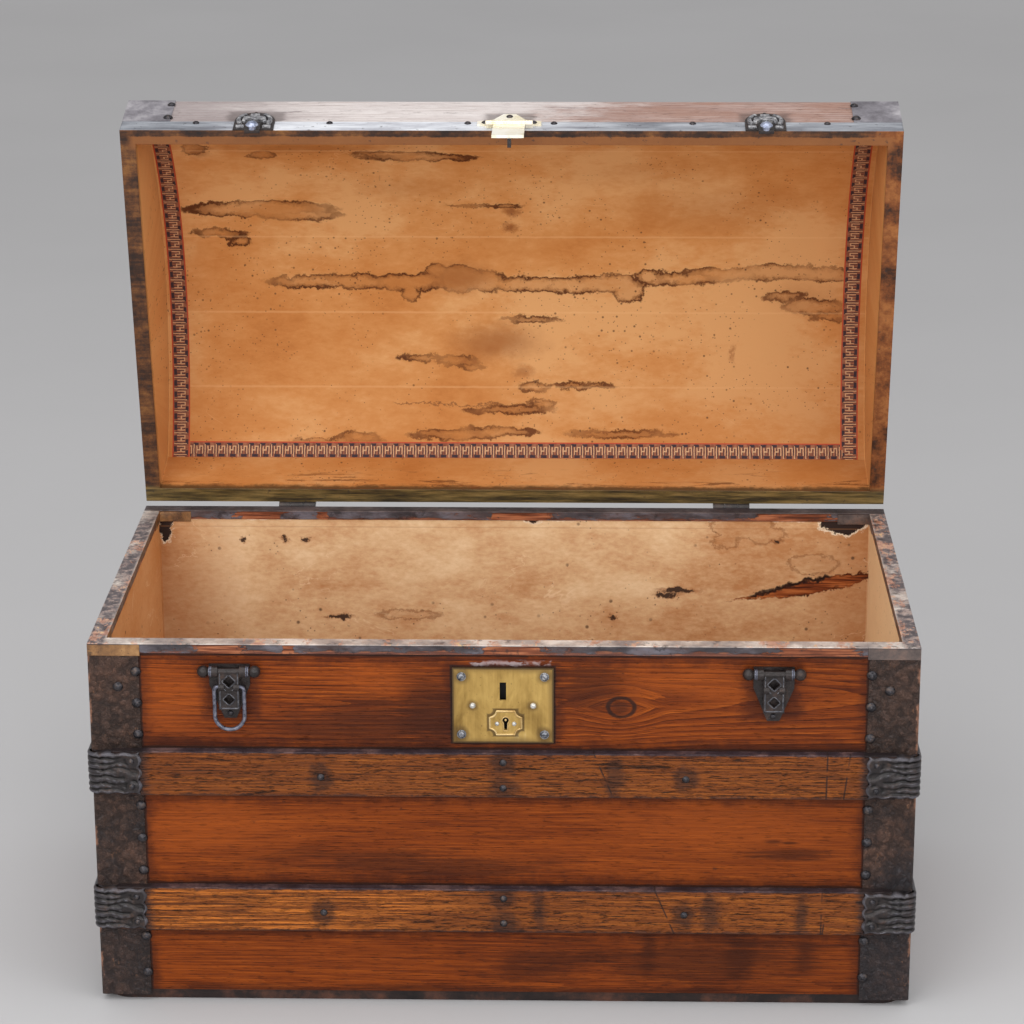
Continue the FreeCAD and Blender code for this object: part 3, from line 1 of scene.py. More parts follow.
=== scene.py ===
import bmesh
import bpy
import json
import math
from mathutils import Matrix, Vector

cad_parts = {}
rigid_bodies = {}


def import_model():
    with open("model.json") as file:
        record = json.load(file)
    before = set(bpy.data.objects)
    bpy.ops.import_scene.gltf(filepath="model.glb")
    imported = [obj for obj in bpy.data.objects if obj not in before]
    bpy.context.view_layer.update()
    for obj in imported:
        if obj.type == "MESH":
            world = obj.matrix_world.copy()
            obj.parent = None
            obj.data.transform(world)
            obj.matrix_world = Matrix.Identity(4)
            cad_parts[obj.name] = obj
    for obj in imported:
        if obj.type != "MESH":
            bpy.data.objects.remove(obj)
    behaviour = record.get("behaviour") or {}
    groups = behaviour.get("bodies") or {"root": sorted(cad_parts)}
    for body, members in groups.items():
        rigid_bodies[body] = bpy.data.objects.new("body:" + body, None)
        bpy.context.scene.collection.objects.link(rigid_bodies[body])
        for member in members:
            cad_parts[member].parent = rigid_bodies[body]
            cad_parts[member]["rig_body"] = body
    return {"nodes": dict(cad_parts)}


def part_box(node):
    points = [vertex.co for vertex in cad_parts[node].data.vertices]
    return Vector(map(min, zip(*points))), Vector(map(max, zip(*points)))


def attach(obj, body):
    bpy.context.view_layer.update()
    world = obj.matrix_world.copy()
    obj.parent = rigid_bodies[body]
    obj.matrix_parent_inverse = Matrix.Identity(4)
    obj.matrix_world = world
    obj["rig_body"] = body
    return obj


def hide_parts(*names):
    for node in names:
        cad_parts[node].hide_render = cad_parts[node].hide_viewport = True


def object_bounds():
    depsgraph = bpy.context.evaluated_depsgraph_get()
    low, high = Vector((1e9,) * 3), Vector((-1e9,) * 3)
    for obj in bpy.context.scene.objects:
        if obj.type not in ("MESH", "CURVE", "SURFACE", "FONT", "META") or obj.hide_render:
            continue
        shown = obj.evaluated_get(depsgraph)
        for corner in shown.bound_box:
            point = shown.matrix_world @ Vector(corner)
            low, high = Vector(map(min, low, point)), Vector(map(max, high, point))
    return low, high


# Dome top trunk with its lid open. Metres, +Z up, front towards -Y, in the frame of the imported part.

MM = 0.001
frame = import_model()
cad_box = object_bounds()
nodes = frame["nodes"]
slot_of = {name: node.material_slots[0].material.name.split(".")[0] for name, node in nodes.items()}

# ---------------------------------------------------------------- sizes read from the frame

low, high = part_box("front_board_upper")
HALF_WIDTH, FRONT = high.x, low.y
RIM_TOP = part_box("rim_binding")[1].z
RIM_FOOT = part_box("rim_binding")[0].z
SLATS = [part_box(f"front_slat_{name}") for name in ("upper", "lower")]
SLAT_MIDDLES = [(a.z + b.z) / 2 for a, b in SLATS]
SLAT_HALF = (SLATS[0][1].z - SLATS[0][0].z) / 2
PLATE_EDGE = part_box("front_right_corner_plate")[0].x
LOCK_LOW, LOCK_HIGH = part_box("lock_plate")
LOCK_MIDDLE_Z = (LOCK_LOW.z + LOCK_HIGH.z) / 2
LATCHES_X = [(a.x + b.x) / 2 for a, b in map(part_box, ("left_latch_lever", "right_latch_lever"))]
LINED_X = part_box("base_lining")[1].x
LINED_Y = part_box("base_lining")[1].y
REAR = 0.200  # from here on, the rim's metal is that of its back strip

# Small parts of the lock, and the hasp: both their shapes and the marks round them lie here, stains and the
# painted shadow round the escutcheon.
SCREW_INSET, RIVET_INSET = 0.009, 0.020
KEY_X, KEY_Z = 0.0026, 0.3078
SHIELD_Z = KEY_Z - 0.0028
SHIELD_HALF_X, SHIELD_HALF_Z, SHIELD_NOTCH = 0.0168, 0.0132, 0.0066
HASP_X = -0.0016

# The lid was built shut and swung open about its hinges: its finishes use the shut place.
LID_OPEN = math.radians(78)
HINGE = Vector((0, 0.226, 0.3852))
DOME_AXIS_Z = 0.2391
DOME_LINED = 0.3013
LID_EDGE = 0.3854

# ---------------------------------------------------------------- camera, light and floor

PICTURE = 1024
FOCAL = 3262.8
SENSOR = 36.0
PITCH, YAW, ROLL = math.radians(17.8), math.radians(-1.5), math.radians(-0.2)
CAMERA_AT = Vector((0.0878, -3.2116, 1.4822))


def make_camera():
    """The camera as fitted to the photo."""
    ahead = Vector((math.sin(YAW) * math.cos(PITCH), math.cos(YAW) * math.cos(PITCH), -math.sin(PITCH)))
    level = Vector((math.cos(YAW), -math.sin(YAW), 0))
    above = level.cross(ahead)
    right = level * math.cos(ROLL) + above * math.sin(ROLL)
    up = above * math.cos(ROLL) - level * math.sin(ROLL)
    data = bpy.data.cameras.new("camera")
    data.sensor_width = SENSOR
    data.lens = FOCAL / PICTURE * SENSOR
    data.clip_end = 100
    camera = bpy.data.objects.new("camera", data)
    turn = Matrix((right, up, -ahead)).transposed().to_4x4()
    camera.matrix_world = Matrix.Translation(CAMERA_AT) @ turn
    bpy.context.scene.collection.objects.link(camera)
    bpy.context.scene.camera = camera


def make_lamp(name, at, towards, size, power):
    data = bpy.data.lights.new(name, "AREA")
    data.shape = "RECTANGLE"
    data.size, data.size_y = size
    data.energy = power
    lamp = bpy.data.objects.new(name, data)
    lamp.location = at
    lamp.rotation_euler = (Vector(towards) - Vector(at)).to_track_quat("-Z", "Y").to_euler()
    bpy.context.scene.collection.objects.link(lamp)


def srgb(red, green, blue):
    """A colour named by its usual 0 to 255 values, as the linear colour that shaders take."""
    def linear(value):
        value /= 255
        return value / 12.92 if value <= 0.04045 else ((value + 0.055) / 1.055) ** 2.4

    return linear(red), linear(green), linear(blue), 1.0


STUDIO_GREY = srgb(178, 177, 178)


def make_world(light, backdrop):
    """Even studio light; the camera and reflections see the plain backdrop colour instead."""
    world = bpy.data.worlds.new("studio")
    world.use_nodes = True
    tree = world.node_tree
    tree.nodes.clear()

    def node(kind, *values, **settings):
        item = tree.nodes.new("ShaderNode" + kind)
        for key, value in settings.items():
            setattr(item, key, value)
        for socket, value in zip(item.inputs, values):
            if isinstance(value, bpy.types.NodeSocket):
                tree.links.new(value, socket)
            else:
                socket.default_value = value
        return item.outputs

    rays = node("LightPath")
    mirrored = node("Math", rays["Is Glossy Ray"], rays["Is Transmission Ray"], operation="MAXIMUM")[0]
    seen = node("Math", rays["Is Camera Ray"], mirrored, operation="MAXIMUM")[0]
    lit, shown = node("Background", (1, 1, 1, 1), light)[0], node("Background", backdrop, 1.0)[0]
    node("OutputWorld", node("MixShader", seen, lit, shown)[0])
    bpy.context.scene.world = world


# ---------------------------------------------------------------- how a finish is built

class Term:
    """One number, colour or place in a shader: a node's output, which takes part in sums like a number."""

    def __init__(self, finish, socket):
        self.finish, self.socket = finish, socket

    def __add__(self, other):
        return self.finish.math("ADD", self, other)

    def __sub__(self, other):
        return self.finish.math("SUBTRACT", self, other)

    def __rsub__(self, other):
        return self.finish.math("SUBTRACT", other, self)

    def __mul__(self, other):
        return self.finish.math("MULTIPLY", self, other)

    def __truediv__(self, other):
        return self.finish.math("DIVIDE", self, other)

    def __pow__(self, other):
        return self.finish.math("POWER", self, other)

    def __abs__(self):
        return self.finish.math("ABSOLUTE", self)


class Finish:
    """A material made of nodes. Its methods take terms or plain values, and return a term.

    The colour is built up in coats: f.colour is the colour so far, and done() makes it the material's.
    """

    def __init__(self, name, roughness=0.5, metallic=0.0, specular=0.5):
        self.material = bpy.data.materials.new(name)
        self.material.use_nodes = True
        self.tree = self.material.node_tree
        self.shader = next(n for n in self.tree.nodes if n.type == "BSDF_PRINCIPLED")
        self.set("Roughness", roughness)
        self.set("Metallic", metallic)
        self.set("Specular IOR Level", specular)
        self.colour = None

    def put(self, socket, value):
        if isinstance(value, Term):
            self.tree.links.new(value.socket, socket)
        elif value is not None:
            socket.default_value = value

    def set(self, name, value):
        self.put(self.shader.inputs[name], value)

    def node(self, kind, values, out=0, **settings):
        item = self.tree.nodes.new("ShaderNode" + kind)
        for key, value in settings.items():
            setattr(item, key, value)
        for name, value in values.items():
            self.put(item.inputs[name], value)
        return Term(self, item.outputs[out])

    def math(self, operation, a, b=None):
        return self.node("Math", {0: a, 1: b}, operation=operation)

    def least(self, first, *rest):
        for other in rest:
            first = self.math("MINIMUM", first, other)
        return first

    def most(self, first, *rest):
        for other in rest:
            first = self.math("MAXIMUM", first, other)
        return first

    def scaled(self, vector, *by):
        return self.node("VectorMath", {0: vector, 1: by}, operation="MULTIPLY")

    def vector(self, x, y, z=0.0):
        return self.node("CombineXYZ", {0: x, 1: y, 2: z})

    def split(self, vector):
        item = self.tree.nodes.new("ShaderNodeSeparateXYZ")
        self.put(item.inputs[0], vector)
        return [Term(self, output) for output in item.outputs]

    def noise(self, vector, scale=1.0, detail=3.0, roughness=0.55, distortion=0.0):
        """Noise from 0 to 1; the scale is one number, or one for each axis."""
        if isinstance(scale, tuple):
            vector, scale = self.scaled(vector, *scale), 1.0
        return self.node("TexNoise", {"Vector": vector, "Scale": scale, "Detail": detail,
                                      "Roughness": roughness, "Distortion": distortion})

    def cells(self, vector, scale, feature="F1"):
        return self.node("TexVoronoi", {"Vector": vector, "Scale": scale}, feature=feature)

    def fade(self, value, start, end, first=0.0, last=1.0):
        """Rises smoothly from first to last as the value goes from start to end."""
        return self.node("MapRange", {"Value": value, "From Min": start, "From Max": end, "To Min": first,
                                      "To Max": last}, interpolation_type="SMOOTHSTEP")

    def patches(self, vector, scale, start, end, first=0.0, last=1.0, **shape):
        """0 where noise is below the start and 1 where it is above the end, or first and last."""
        return self.fade(self.noise(vector, scale, **shape), start, end, first, last)

    def ramp(self, value, *stops):
        item = self.tree.nodes.new("ShaderNodeValToRGB")
        self.put(item.inputs[0], value)
        places = item.color_ramp.elements
        while len(places) < len(stops):
            places.new(0.5)
        for place, (at, colour) in zip(places, stops):
            place.position = at
            place.color = colour
        return Term(self, item.outputs[0])

    def mix(self, amount, a, b):
        return self.node("Mix", {0: amount, 6: a, 7: b}, out=2, data_type="RGBA")

    def coat(self, amount, tint):
        """Lays a tint over the colour so far."""
        self.colour = self.mix(amount, self.colour, tint)

    def done(self, height=None, depth=0.0, roughness=None):
        """The finished material. A height of 1 stands the depth, in metres, above a height of 0."""
        self.set("Base Color", self.colour)
        if height is not None:
            self.set("Normal", self.node("Bump", {"Strength": 1.0, "Distance": depth, "Height": height}))
        self.set("Roughness", roughness)
        return self.material

    # places

    def here(self):
        return self.node("TexCoord", {}, out=3)

    def shut(self):
        """Where this point of the open lid lies when the lid is shut."""
        turn = Matrix.Rotation(LID_OPEN, 3, "X")
        shift = HINGE - turn @ HINGE
        return self.node("Mapping", {"Vector": self.here(), "Location": shift,
                                     "Rotation": (LID_OPEN, 0, 0)}, vector_type="POINT")

    def from_box(self, x, z, middle_x, middle_z, half_x, half_z):
        """Distance outside an upright rectangle."""
        return self.most(abs(x - middle_x) - half_x, abs(z - middle_z) - half_z)

    def from_between(self, value, low, high):
        """1 between two limits and 0 beyond them."""
        ease = 0.004
        return self.fade(value, low - ease, low + ease) * self.fade(value, high + ease, high - ease)

    def from_spot(self, x, z, spot_x, spot_z, reach_x, reach_z):
        """1 on the edge of an ellipse, 0 in its middle."""
        return self.math("SQRT", ((x - spot_x) / reach_x) ** 2 + ((z - spot_z) / reach_z) ** 2)


def make_floor():
    floor_mesh = bpy.data.meshes.new("floor")
    bm = bmesh.new()
    bmesh.ops.create_grid(bm, x_segments=8, y_segments=8, size=30)
    bm.to_mesh(floor_mesh)
    bm.free()
    floor = bpy.data.objects.new("floor", floor_mesh)
    bpy.context.scene.collection.objects.link(floor)
    paper = Finish("floor_paper", roughness=0.8, specular=0.2)
    paper.colour = paper.mix(paper.noise(paper.here(), 1.4), STUDIO_GREY, srgb(186, 185, 186))
    floor_mesh.materials.append(paper.done())
    return floor


# ---------------------------------------------------------------- wood

BROAD_SHARE, LINE_SHARE, FINE_SHARE = 0.30, 0.52, 0.46
TONE_SPREAD = 0.46


def grain(f, place, axis, tones, spacing=0.0042, heart=(0.018, 0.0), slope=0.06, pores=0.5, rings=0.16):
    """Colour and height of planed wood whose grain runs along an axis. Tones go from dark to light,
    and each layer of noise has its share in them.

    The year rings lie about a line that leaves the board at a small slope, so they show as long arches.
    """
    x, y, z = f.split(place)
    run, side = (x, y) if axis == "x" else (y, x)

    def stretched(near, far, shift=0.0):
        return f.vector(run * near, (z + shift) * far, side * far)

    wander = (f.noise(stretched(1.4, 7), detail=2) - 0.5) * 0.035
    rise = z - heart[1] + wander
    depth = run * slope + heart[0]
    year = f.node("TexWave", {
        "Vector": f.vector(run * 0.05, depth, rise), "Scale": 0.314 / spacing, "Distortion": 2.2,
        "Detail": 3.0, "Detail Scale": 1.7, "Detail Roughness": 0.62},
        wave_type="RINGS", rings_direction="X", wave_profile="SAW")
    broad = f.noise(stretched(1.8, 17), detail=5, roughness=0.62, distortion=0.4)
    lines = f.noise(stretched(8, 620), detail=5, roughness=0.7)
    fine = f.noise(stretched(26, 1500), detail=3, roughness=0.6)
    tone = (broad * BROAD_SHARE + lines * LINE_SHARE) + (year * rings + fine * FINE_SHARE)
    middle = 0.5 * (BROAD_SHARE + LINE_SHARE + FINE_SHARE + rings)
    steps = [middle + TONE_SPREAD * (i / (len(tones) - 1) - 0.5) for i in range(len(tones))]
    colour = f.ramp(tone, *zip(steps, tones))
    dashes = f.patches(stretched(58, 760), 1.0, 0.585, 0.67, detail=3, roughness=0.6)
    seams = f.patches(stretched(5, 330, 0.7), 1.0, 0.66, 0.74, detail=3, roughness=0.55)
    marks = f.most(dashes * pores, seams * (0.9 * pores))
    colour = f.mix(marks, colour, tones[0])
    height = fine * 0.5 + lines * 0.5 + year * 0.25 - marks
    return colour, height


PINE = (srgb(36, 14, 6), srgb(84, 33, 8), srgb(118, 52, 12), srgb(140, 66, 16), srgb(170, 88, 28))
OAK = (srgb(28, 15, 8), srgb(78, 37, 10), srgb(114, 57, 15), srgb(142, 77, 22), srgb(176, 104, 36))
# Pale grey tones painted on the lid's front board as the glare of light off it.
GLARE_PALE = (srgb(116, 98, 94), srgb(172, 158, 154), srgb(198, 189, 186), srgb(210, 203, 200),
          srgb(222, 216, 214))
ROSY = (srgb(76, 50, 44), srgb(126, 92, 82), srgb(154, 126, 116), srgb(174, 152, 144), srgb(196, 180, 176))
GRIME = srgb(38, 24, 20)


def pine_front(name, warm_spots=(), dark_spots=(), knot=None, **figure):
    """Stained front boards, darker in patches and along everything that is fixed over them."""
    f = Finish(name, specular=0.14)
    place = f.here()
    x, y, z = f.split(place)
    if knot:
        near = f.from_spot(x, z, *knot)
        push = f.fade(near, 0.2, 4.0, 1.0, 0.0) * 0.014
        place = f.vector(x, y, z - push * f.math("SIGN", z - knot[1]))
    f.colour, height = grain(f, place, "x", PINE, **figure)
    cloud = f.noise(f.here(), (9, 9, 26), detail=5, roughness=0.7)
    ragged = (f.noise(f.here(), 55, detail=5, roughness=0.65) - 0.5) * 0.030
    streaks = (f.noise(f.here(), (9, 9, 330), detail=5, roughness=0.7) - 0.5) * 2.6
    dark_stain = srgb(54, 23, 11)
    for spots, tint, strength in ((warm_spots, srgb(168, 82, 26), 0.32), (dark_spots, dark_stain, 0.66)):
        for spot in spots:
            reach = f.from_spot(x, z, *spot) + (cloud - 0.5) * 2.4
            f.coat(f.fade(reach + streaks, 1.3, 0.3) * strength, tint)
    gap = f.least(*[abs(z - middle) - SLAT_HALF for middle in SLAT_MIDDLES])
    beside_plates = PLATE_EDGE - abs(x)
    beside_lock = f.from_box(x, z, 0.0, LOCK_MIDDLE_Z, LOCK_HIGH.x, LOCK_HIGH.z - LOCK_MIDDLE_Z)
    fixed = f.least(gap, beside_plates, beside_lock, RIM_FOOT - z)
    fittings = f.least(*[f.from_box(x, z, at, 0.340, 0.020, 0.024) for at in LATCHES_X])
    halo = f.fade(f.least(fixed, fittings) + ragged, 0.016, 0.001)
    f.coat(halo * 0.62, srgb(52, 20, 12))
    line = f.fade(fixed + ragged * 0.12, 0.0030, 0.0012)
    f.coat(line * 0.85, GRIME)
    f.coat(f.fade(x + (cloud - 0.5) * 0.3, 0.05, 0.30, 0.0, 0.15), dark_stain)
    if knot:
        ring = f.fade(abs(near + ragged * 9.0 - 1.0), 0.24, 0.08)
        heart = f.fade(near, 0.95, 0.3)
        f.coat(f.most(ring * 0.85, heart * 0.45), GRIME)
    f.coat(f.patches(f.here(), (60, 60, 130), 0.66, 0.74, detail=4, roughness=0.7) * 0.6, GRIME)
    # a pale smear along the rim, over the lock
    smear = f.from_box(x, z, 0.006, 0.3668, 0.040, 0.0012) + ragged * 0.35
    smear = f.fade(smear, 0.0030, -0.0005) * f.patches(f.here(), (120, 120, 260), 0.44, 0.56, detail=4)
    f.coat(smear * 0.6, srgb(176, 164, 166))
    gloss = f.fade(cloud, 0.3, 0.7, 0.36, 0.52)
    return f.done(height, 0.0005, gloss)


def pine_plain(name, axis, lid=False):
    """Stained boards of the back, the ends and the dome."""
    f = Finish(name, specular=0.4)
    place = f.shut() if lid else f.here()
    f.colour, height = grain(f, place, axis, PINE)
    shade = f.patches(place, 5, 0.35, 0.7, detail=5)
    f.coat(shade * 0.45, PINE[0])
    return f.done(height, 0.0005, 0.5)


SLAT_MARKS = ((0.207, 1, 0.010), (0.297, 1, 0.006), (0.110, 0, 0.010), (0.036, 1, 0.006))


def oak(name, lid=False):
    """Golden slats with open pores, dark where nails have stained them and along their edges, with dark
    bluish dirt and a painted pink highlight along their top faces.
    """
    f = Finish(name, specular=0.25)
    place = f.shut() if lid else f.here()
    x, _, z = f.split(place)
    f.colour, height = grain(f, place, "x", OAK, spacing=0.0034, heart=(0.09, 0.06), slope=0.03,
                            pores=0.85, rings=0.10)
    ticks = f.patches(place, (85, 900, 900), 0.565, 0.64, detail=4, roughness=0.7)
    patchy = f.patches(place, (11, 50, 50), 0.44, 0.62, first=0.05, last=0.95, detail=4, roughness=0.6)
    f.coat(ticks * patchy, OAK[0])
    cracks = f.patches(place, (10, 150, 150), 0.625, 0.655, detail=6, roughness=0.78, distortion=0.35)
    f.coat(cracks * 0.85, OAK[0])
    if not lid:
        golden = f.fade(x, 0.02, -0.12) * f.fade(z, SLAT_MIDDLES[1] + 0.04, SLAT_MIDDLES[1] + 0.03)
        lines = f.patches(place, (8, 420, 420), 0.40, 0.52, detail=5, roughness=0.7)
        f.coat((1.0 - lines) * golden * 0.85, srgb(196, 112, 40))
        aside = abs(x + 0.0005)
        ragged = f.noise(place, (70, 110, 110), detail=5, roughness=0.7) - 0.5
        halos, edges, tops = [], [], []
        for middle in SLAT_MIDDLES:
            up = z - middle
            halos.append(f.from_spot(aside, up, 0.180, -0.003, 0.011, 0.013))
            halos.append(f.from_spot(aside, abs(up), 0.0, 0.0135, 0.013, 0.012))
            edges.append(abs(abs(up) - SLAT_HALF))
            tops.append(abs(up - SLAT_HALF))
        for at, middle, reach in SLAT_MARKS:
            halos.append(f.from_spot(x, z, at, SLAT_MIDDLES[middle], reach * 1.4, 0.030) + 0.35)
        halo = f.fade(f.least(*halos) + ragged * 1.8, 1.5, 0.6)
        f.coat(halo * 0.66, GRIME)
        nicks = f.fade(f.least(*edges) + ragged * 0.012, 0.0030, 0.0008)
        f.coat(nicks * 0.75, srgb(54, 34, 30))
        # Along the top faces: dark bluish dirt with a painted pink highlight.
        top = f.fade(f.least(*tops), 0.0022, 0.0006)
        dirt_and_sheen = f.ramp(f.noise(place, 26, detail=5, roughness=0.7), (0.36, srgb(34, 30, 38)),
                       (0.5, srgb(56, 48, 56)), (0.62, srgb(108, 84, 82)))
        f.coat(top * 0.8, dirt_and_sheen)
        corner = f.fade(abs(x) + ragged * 0.02, 0.346, 0.358)
        f.coat(corner * 0.85, srgb(34, 28, 28))
        scores = [abs(x + z * lean - at) for at, lean in ((0.3155, -0.012), (0.205, 0.42), (0.308, -0.12))]
        score = f.fade(f.least(*scores), 0.0012, 0.0004)
        score = score * f.patches(place, (30, 30, 40), 0.42, 0.5, detail=2)
        f.coat(score * 0.85, GRIME)
    height = height - (ticks + cracks)
    return f.done(height, 0.0006, 0.42)


# ---------------------------------------------------------------- metal

def iron_sheet(name):
    """Thin sheet iron pressed with a small all-over figure, brown with age and rubbed coppery."""
    f = Finish(name, roughness=0.5, metallic=0.15, specular=0.4)
    place = f.here()
    x, y, z = f.split(place)
    warp = f.node("TexNoise", {"Vector": place, "Scale": 120.0, "Detail": 3.0}, out=1)
    warped = f.node("VectorMath", {0: place, 1: f.scaled(warp, 0.009, 0.009, 0.009)}, operation="ADD")
    curls = f.noise(warped, 190.0, detail=4, roughness=0.62, distortion=1.8)
    ridge = f.fade(abs(curls - 0.5), 0.07, 0.005)
    hollow = f.fade(f.cells(warped, 150.0, feature="SMOOTH_F1"), 0.25, 0.6)
    broad = f.noise(place, 13, detail=6, roughness=0.7)
    f.colour = f.ramp(broad, (0.34, srgb(34, 29, 29)), (0.5, srgb(64, 47, 40)), (0.66, srgb(100, 70, 56)))
    f.coat(ridge * 0.55, srgb(122, 96, 84))
    f.coat(hollow * 0.55, srgb(26, 21, 21))
    low_down = f.fade(z + (broad - 0.5) * 0.5, 0.24, 0.10)
    f.coat(low_down * f.fade(x, -0.2, 0.2, 0.25, 0.6), srgb(46, 46, 52))
    scratch = f.patches(place, (210, 210, 90), 0.60, 0.70, detail=5, roughness=0.75, distortion=1.2)
    scuff = f.patches(place, 26, 0.46, 0.60, detail=6, roughness=0.8)
    f.coat(scratch * scuff * 0.8, srgb(158, 112, 82))
    frayed = f.noise(place, (300, 300, 160), detail=5, roughness=0.7) - 0.5
    corner = f.most(HALF_WIDTH + 0.0012 - abs(x), 0.0012 - FRONT - abs(y)) + frayed * 0.008
    chips = f.fade(corner, 0.0034, 0.0006) * f.patches(place, (60, 60, 45), 0.48, 0.60, detail=4)
    f.coat(chips * 0.85, srgb(184, 130, 102))
    height = ridge * 0.7 + curls - hollow * 0.8
    return f.done(height, 0.0016, f.fade(broad, 0.3, 0.7, 0.38, 0.58))


def black_casting(name, tint=srgb(30, 28, 31), carved=False):
    """Cast and japanned iron: near black, a little glossy, brown in its hollows; carved, it is painted grey
    on its crests as rubbed wear with a painted highlight, and near black in its grooves as painted shade.
    """
    f = Finish(name, roughness=0.36, metallic=0.35, specular=0.5)
    place = f.here()
    stain = f.noise(place, 60, detail=5, roughness=0.7)
    f.colour = f.ramp(stain, (0.35, tint), (0.55, srgb(48, 41, 40)), (0.72, srgb(78, 58, 48)))
    if carved:
        # Carved: grey on the crests is rubbed wear with a painted highlight; near black in the grooves is
        # painted shade.
        crest = f.node("NewGeometry", {}, out=7)
        patchy = f.patches(place, 130, 0.4, 0.6, first=0.3, detail=3)
        f.coat(f.fade(crest, 0.512, 0.550) * patchy * 0.55, srgb(106, 104, 112))
        f.coat(f.fade(crest, 0.494, 0.462), srgb(13, 10, 10))
    pits = f.noise(place, 420, detail=3)
    return f.done(pits + stain, 0.0005, f.fade(stain, 0.3, 0.7, 0.28, 0.5))


def nail_steel(name, *tones):
    """Heads of nails, screws and rivets, from three tones: dark, middle and worn."""
    f = Finish(name, roughness=0.3, metallic=0.7)
    place = f.here()
    stain = f.noise(place, 220, detail=4, roughness=0.7)
    f.colour = f.ramp(stain, (0.35, tones[0]), (0.52, tones[1]), (0.68, tones[2]))
    return f.done(stain, 0.0003, f.fade(stain, 0.3, 0.7, 0.24, 0.5))


def brass(name, light=False):
    """Old brass plate: olive gold with cloudy wear and rubbed streaks, and a dark line painted round the
    escutcheon as the shadow in its groove; or the polished hasp, painted near white as the glare off it.
    """
    f = Finish(name, roughness=0.36, metallic=0.4 if light else 0.55, specular=0.5)
    place = f.here()
    x, _, z = f.split(place)
    cloud = f.noise(place, (24, 24, 15), detail=5, roughness=0.6, distortion=0.7)
    streak = f.noise(place, (300, 300, 22), detail=3, roughness=0.6)
    mixed = cloud * 0.8 + streak * 0.2
    # The hasp's near white is painted glare, the light off its polished brass.
    if light:
        f.colour = f.ramp(mixed, (0.3, srgb(212, 192, 142)), (0.42, srgb(240, 228, 196)),
                          (0.58, srgb(252, 247, 234)))
        return f.done(mixed, 0.0002, f.fade(cloud, 0.3, 0.7, 0.22, 0.4))
    f.colour = f.ramp(mixed, (0.32, srgb(128, 98, 44)), (0.48, srgb(176, 142, 76)),
                      (0.58, srgb(196, 162, 92)), (0.72, srgb(226, 204, 150)))
    inside = f.from_box(x, z, 0.0, LOCK_MIDDLE_Z, LOCK_HIGH.x, LOCK_HIGH.z - LOCK_MIDDLE_Z)
    worn_edge = f.fade(inside + (cloud - 0.5) * 0.022, -0.007, 0.0005)
    f.coat(worn_edge * 0.65, srgb(110, 84, 46))
    outline = f.fade(inside, -0.0022, -0.0008)
    f.coat(outline * 0.75, srgb(58, 44, 32))
    at_screws = f.from_spot(abs(x), abs(z - LOCK_MIDDLE_Z), LOCK_HIGH.x - SCREW_INSET,
                            LOCK_HIGH.z - LOCK_MIDDLE_Z - SCREW_INSET, 0.008, 0.008)
    at_rivets = f.from_spot(abs(x), z, LOCK_HIGH.x - RIVET_INSET, LOCK_MIDDLE_Z, 0.0055, 0.0055)
    around = f.fade(f.least(at_screws, at_rivets) + (cloud - 0.5) * 1.2, 1.25, 0.6)
    f.coat(around * 0.5, srgb(84, 64, 40))
    # A dark line painted round the escutcheon's outline, as the shadow in the groove at its edge.
    notch = f.from_spot(abs(x - KEY_X), abs(z - SHIELD_Z), SHIELD_HALF_X, SHIELD_HALF_Z,
                        SHIELD_NOTCH, SHIELD_NOTCH)
    shield = f.from_box(x, z, KEY_X, SHIELD_Z, SHIELD_HALF_X - 0.0008, SHIELD_HALF_Z - 0.0008)
    shield = abs(f.most(shield, (1.0 - notch) * SHIELD_NOTCH) - 0.0010)
    f.coat(f.fade(shield, 0.0022, 0.0006) * 0.7, srgb(62, 46, 28))
    specks = f.patches(place, 300, 0.66, 0.74, detail=2)
    f.coat(specks * 0.5, srgb(96, 74, 44))
    return f.done(mixed, 0.0002, f.fade(cloud, 0.3, 0.7, 0.3, 0.48))


CHIPS = ((-0.279, 0.025), (-0.210, 0.006), (0.009, 0.032), (0.306, 0.044))  # middles and half lengths


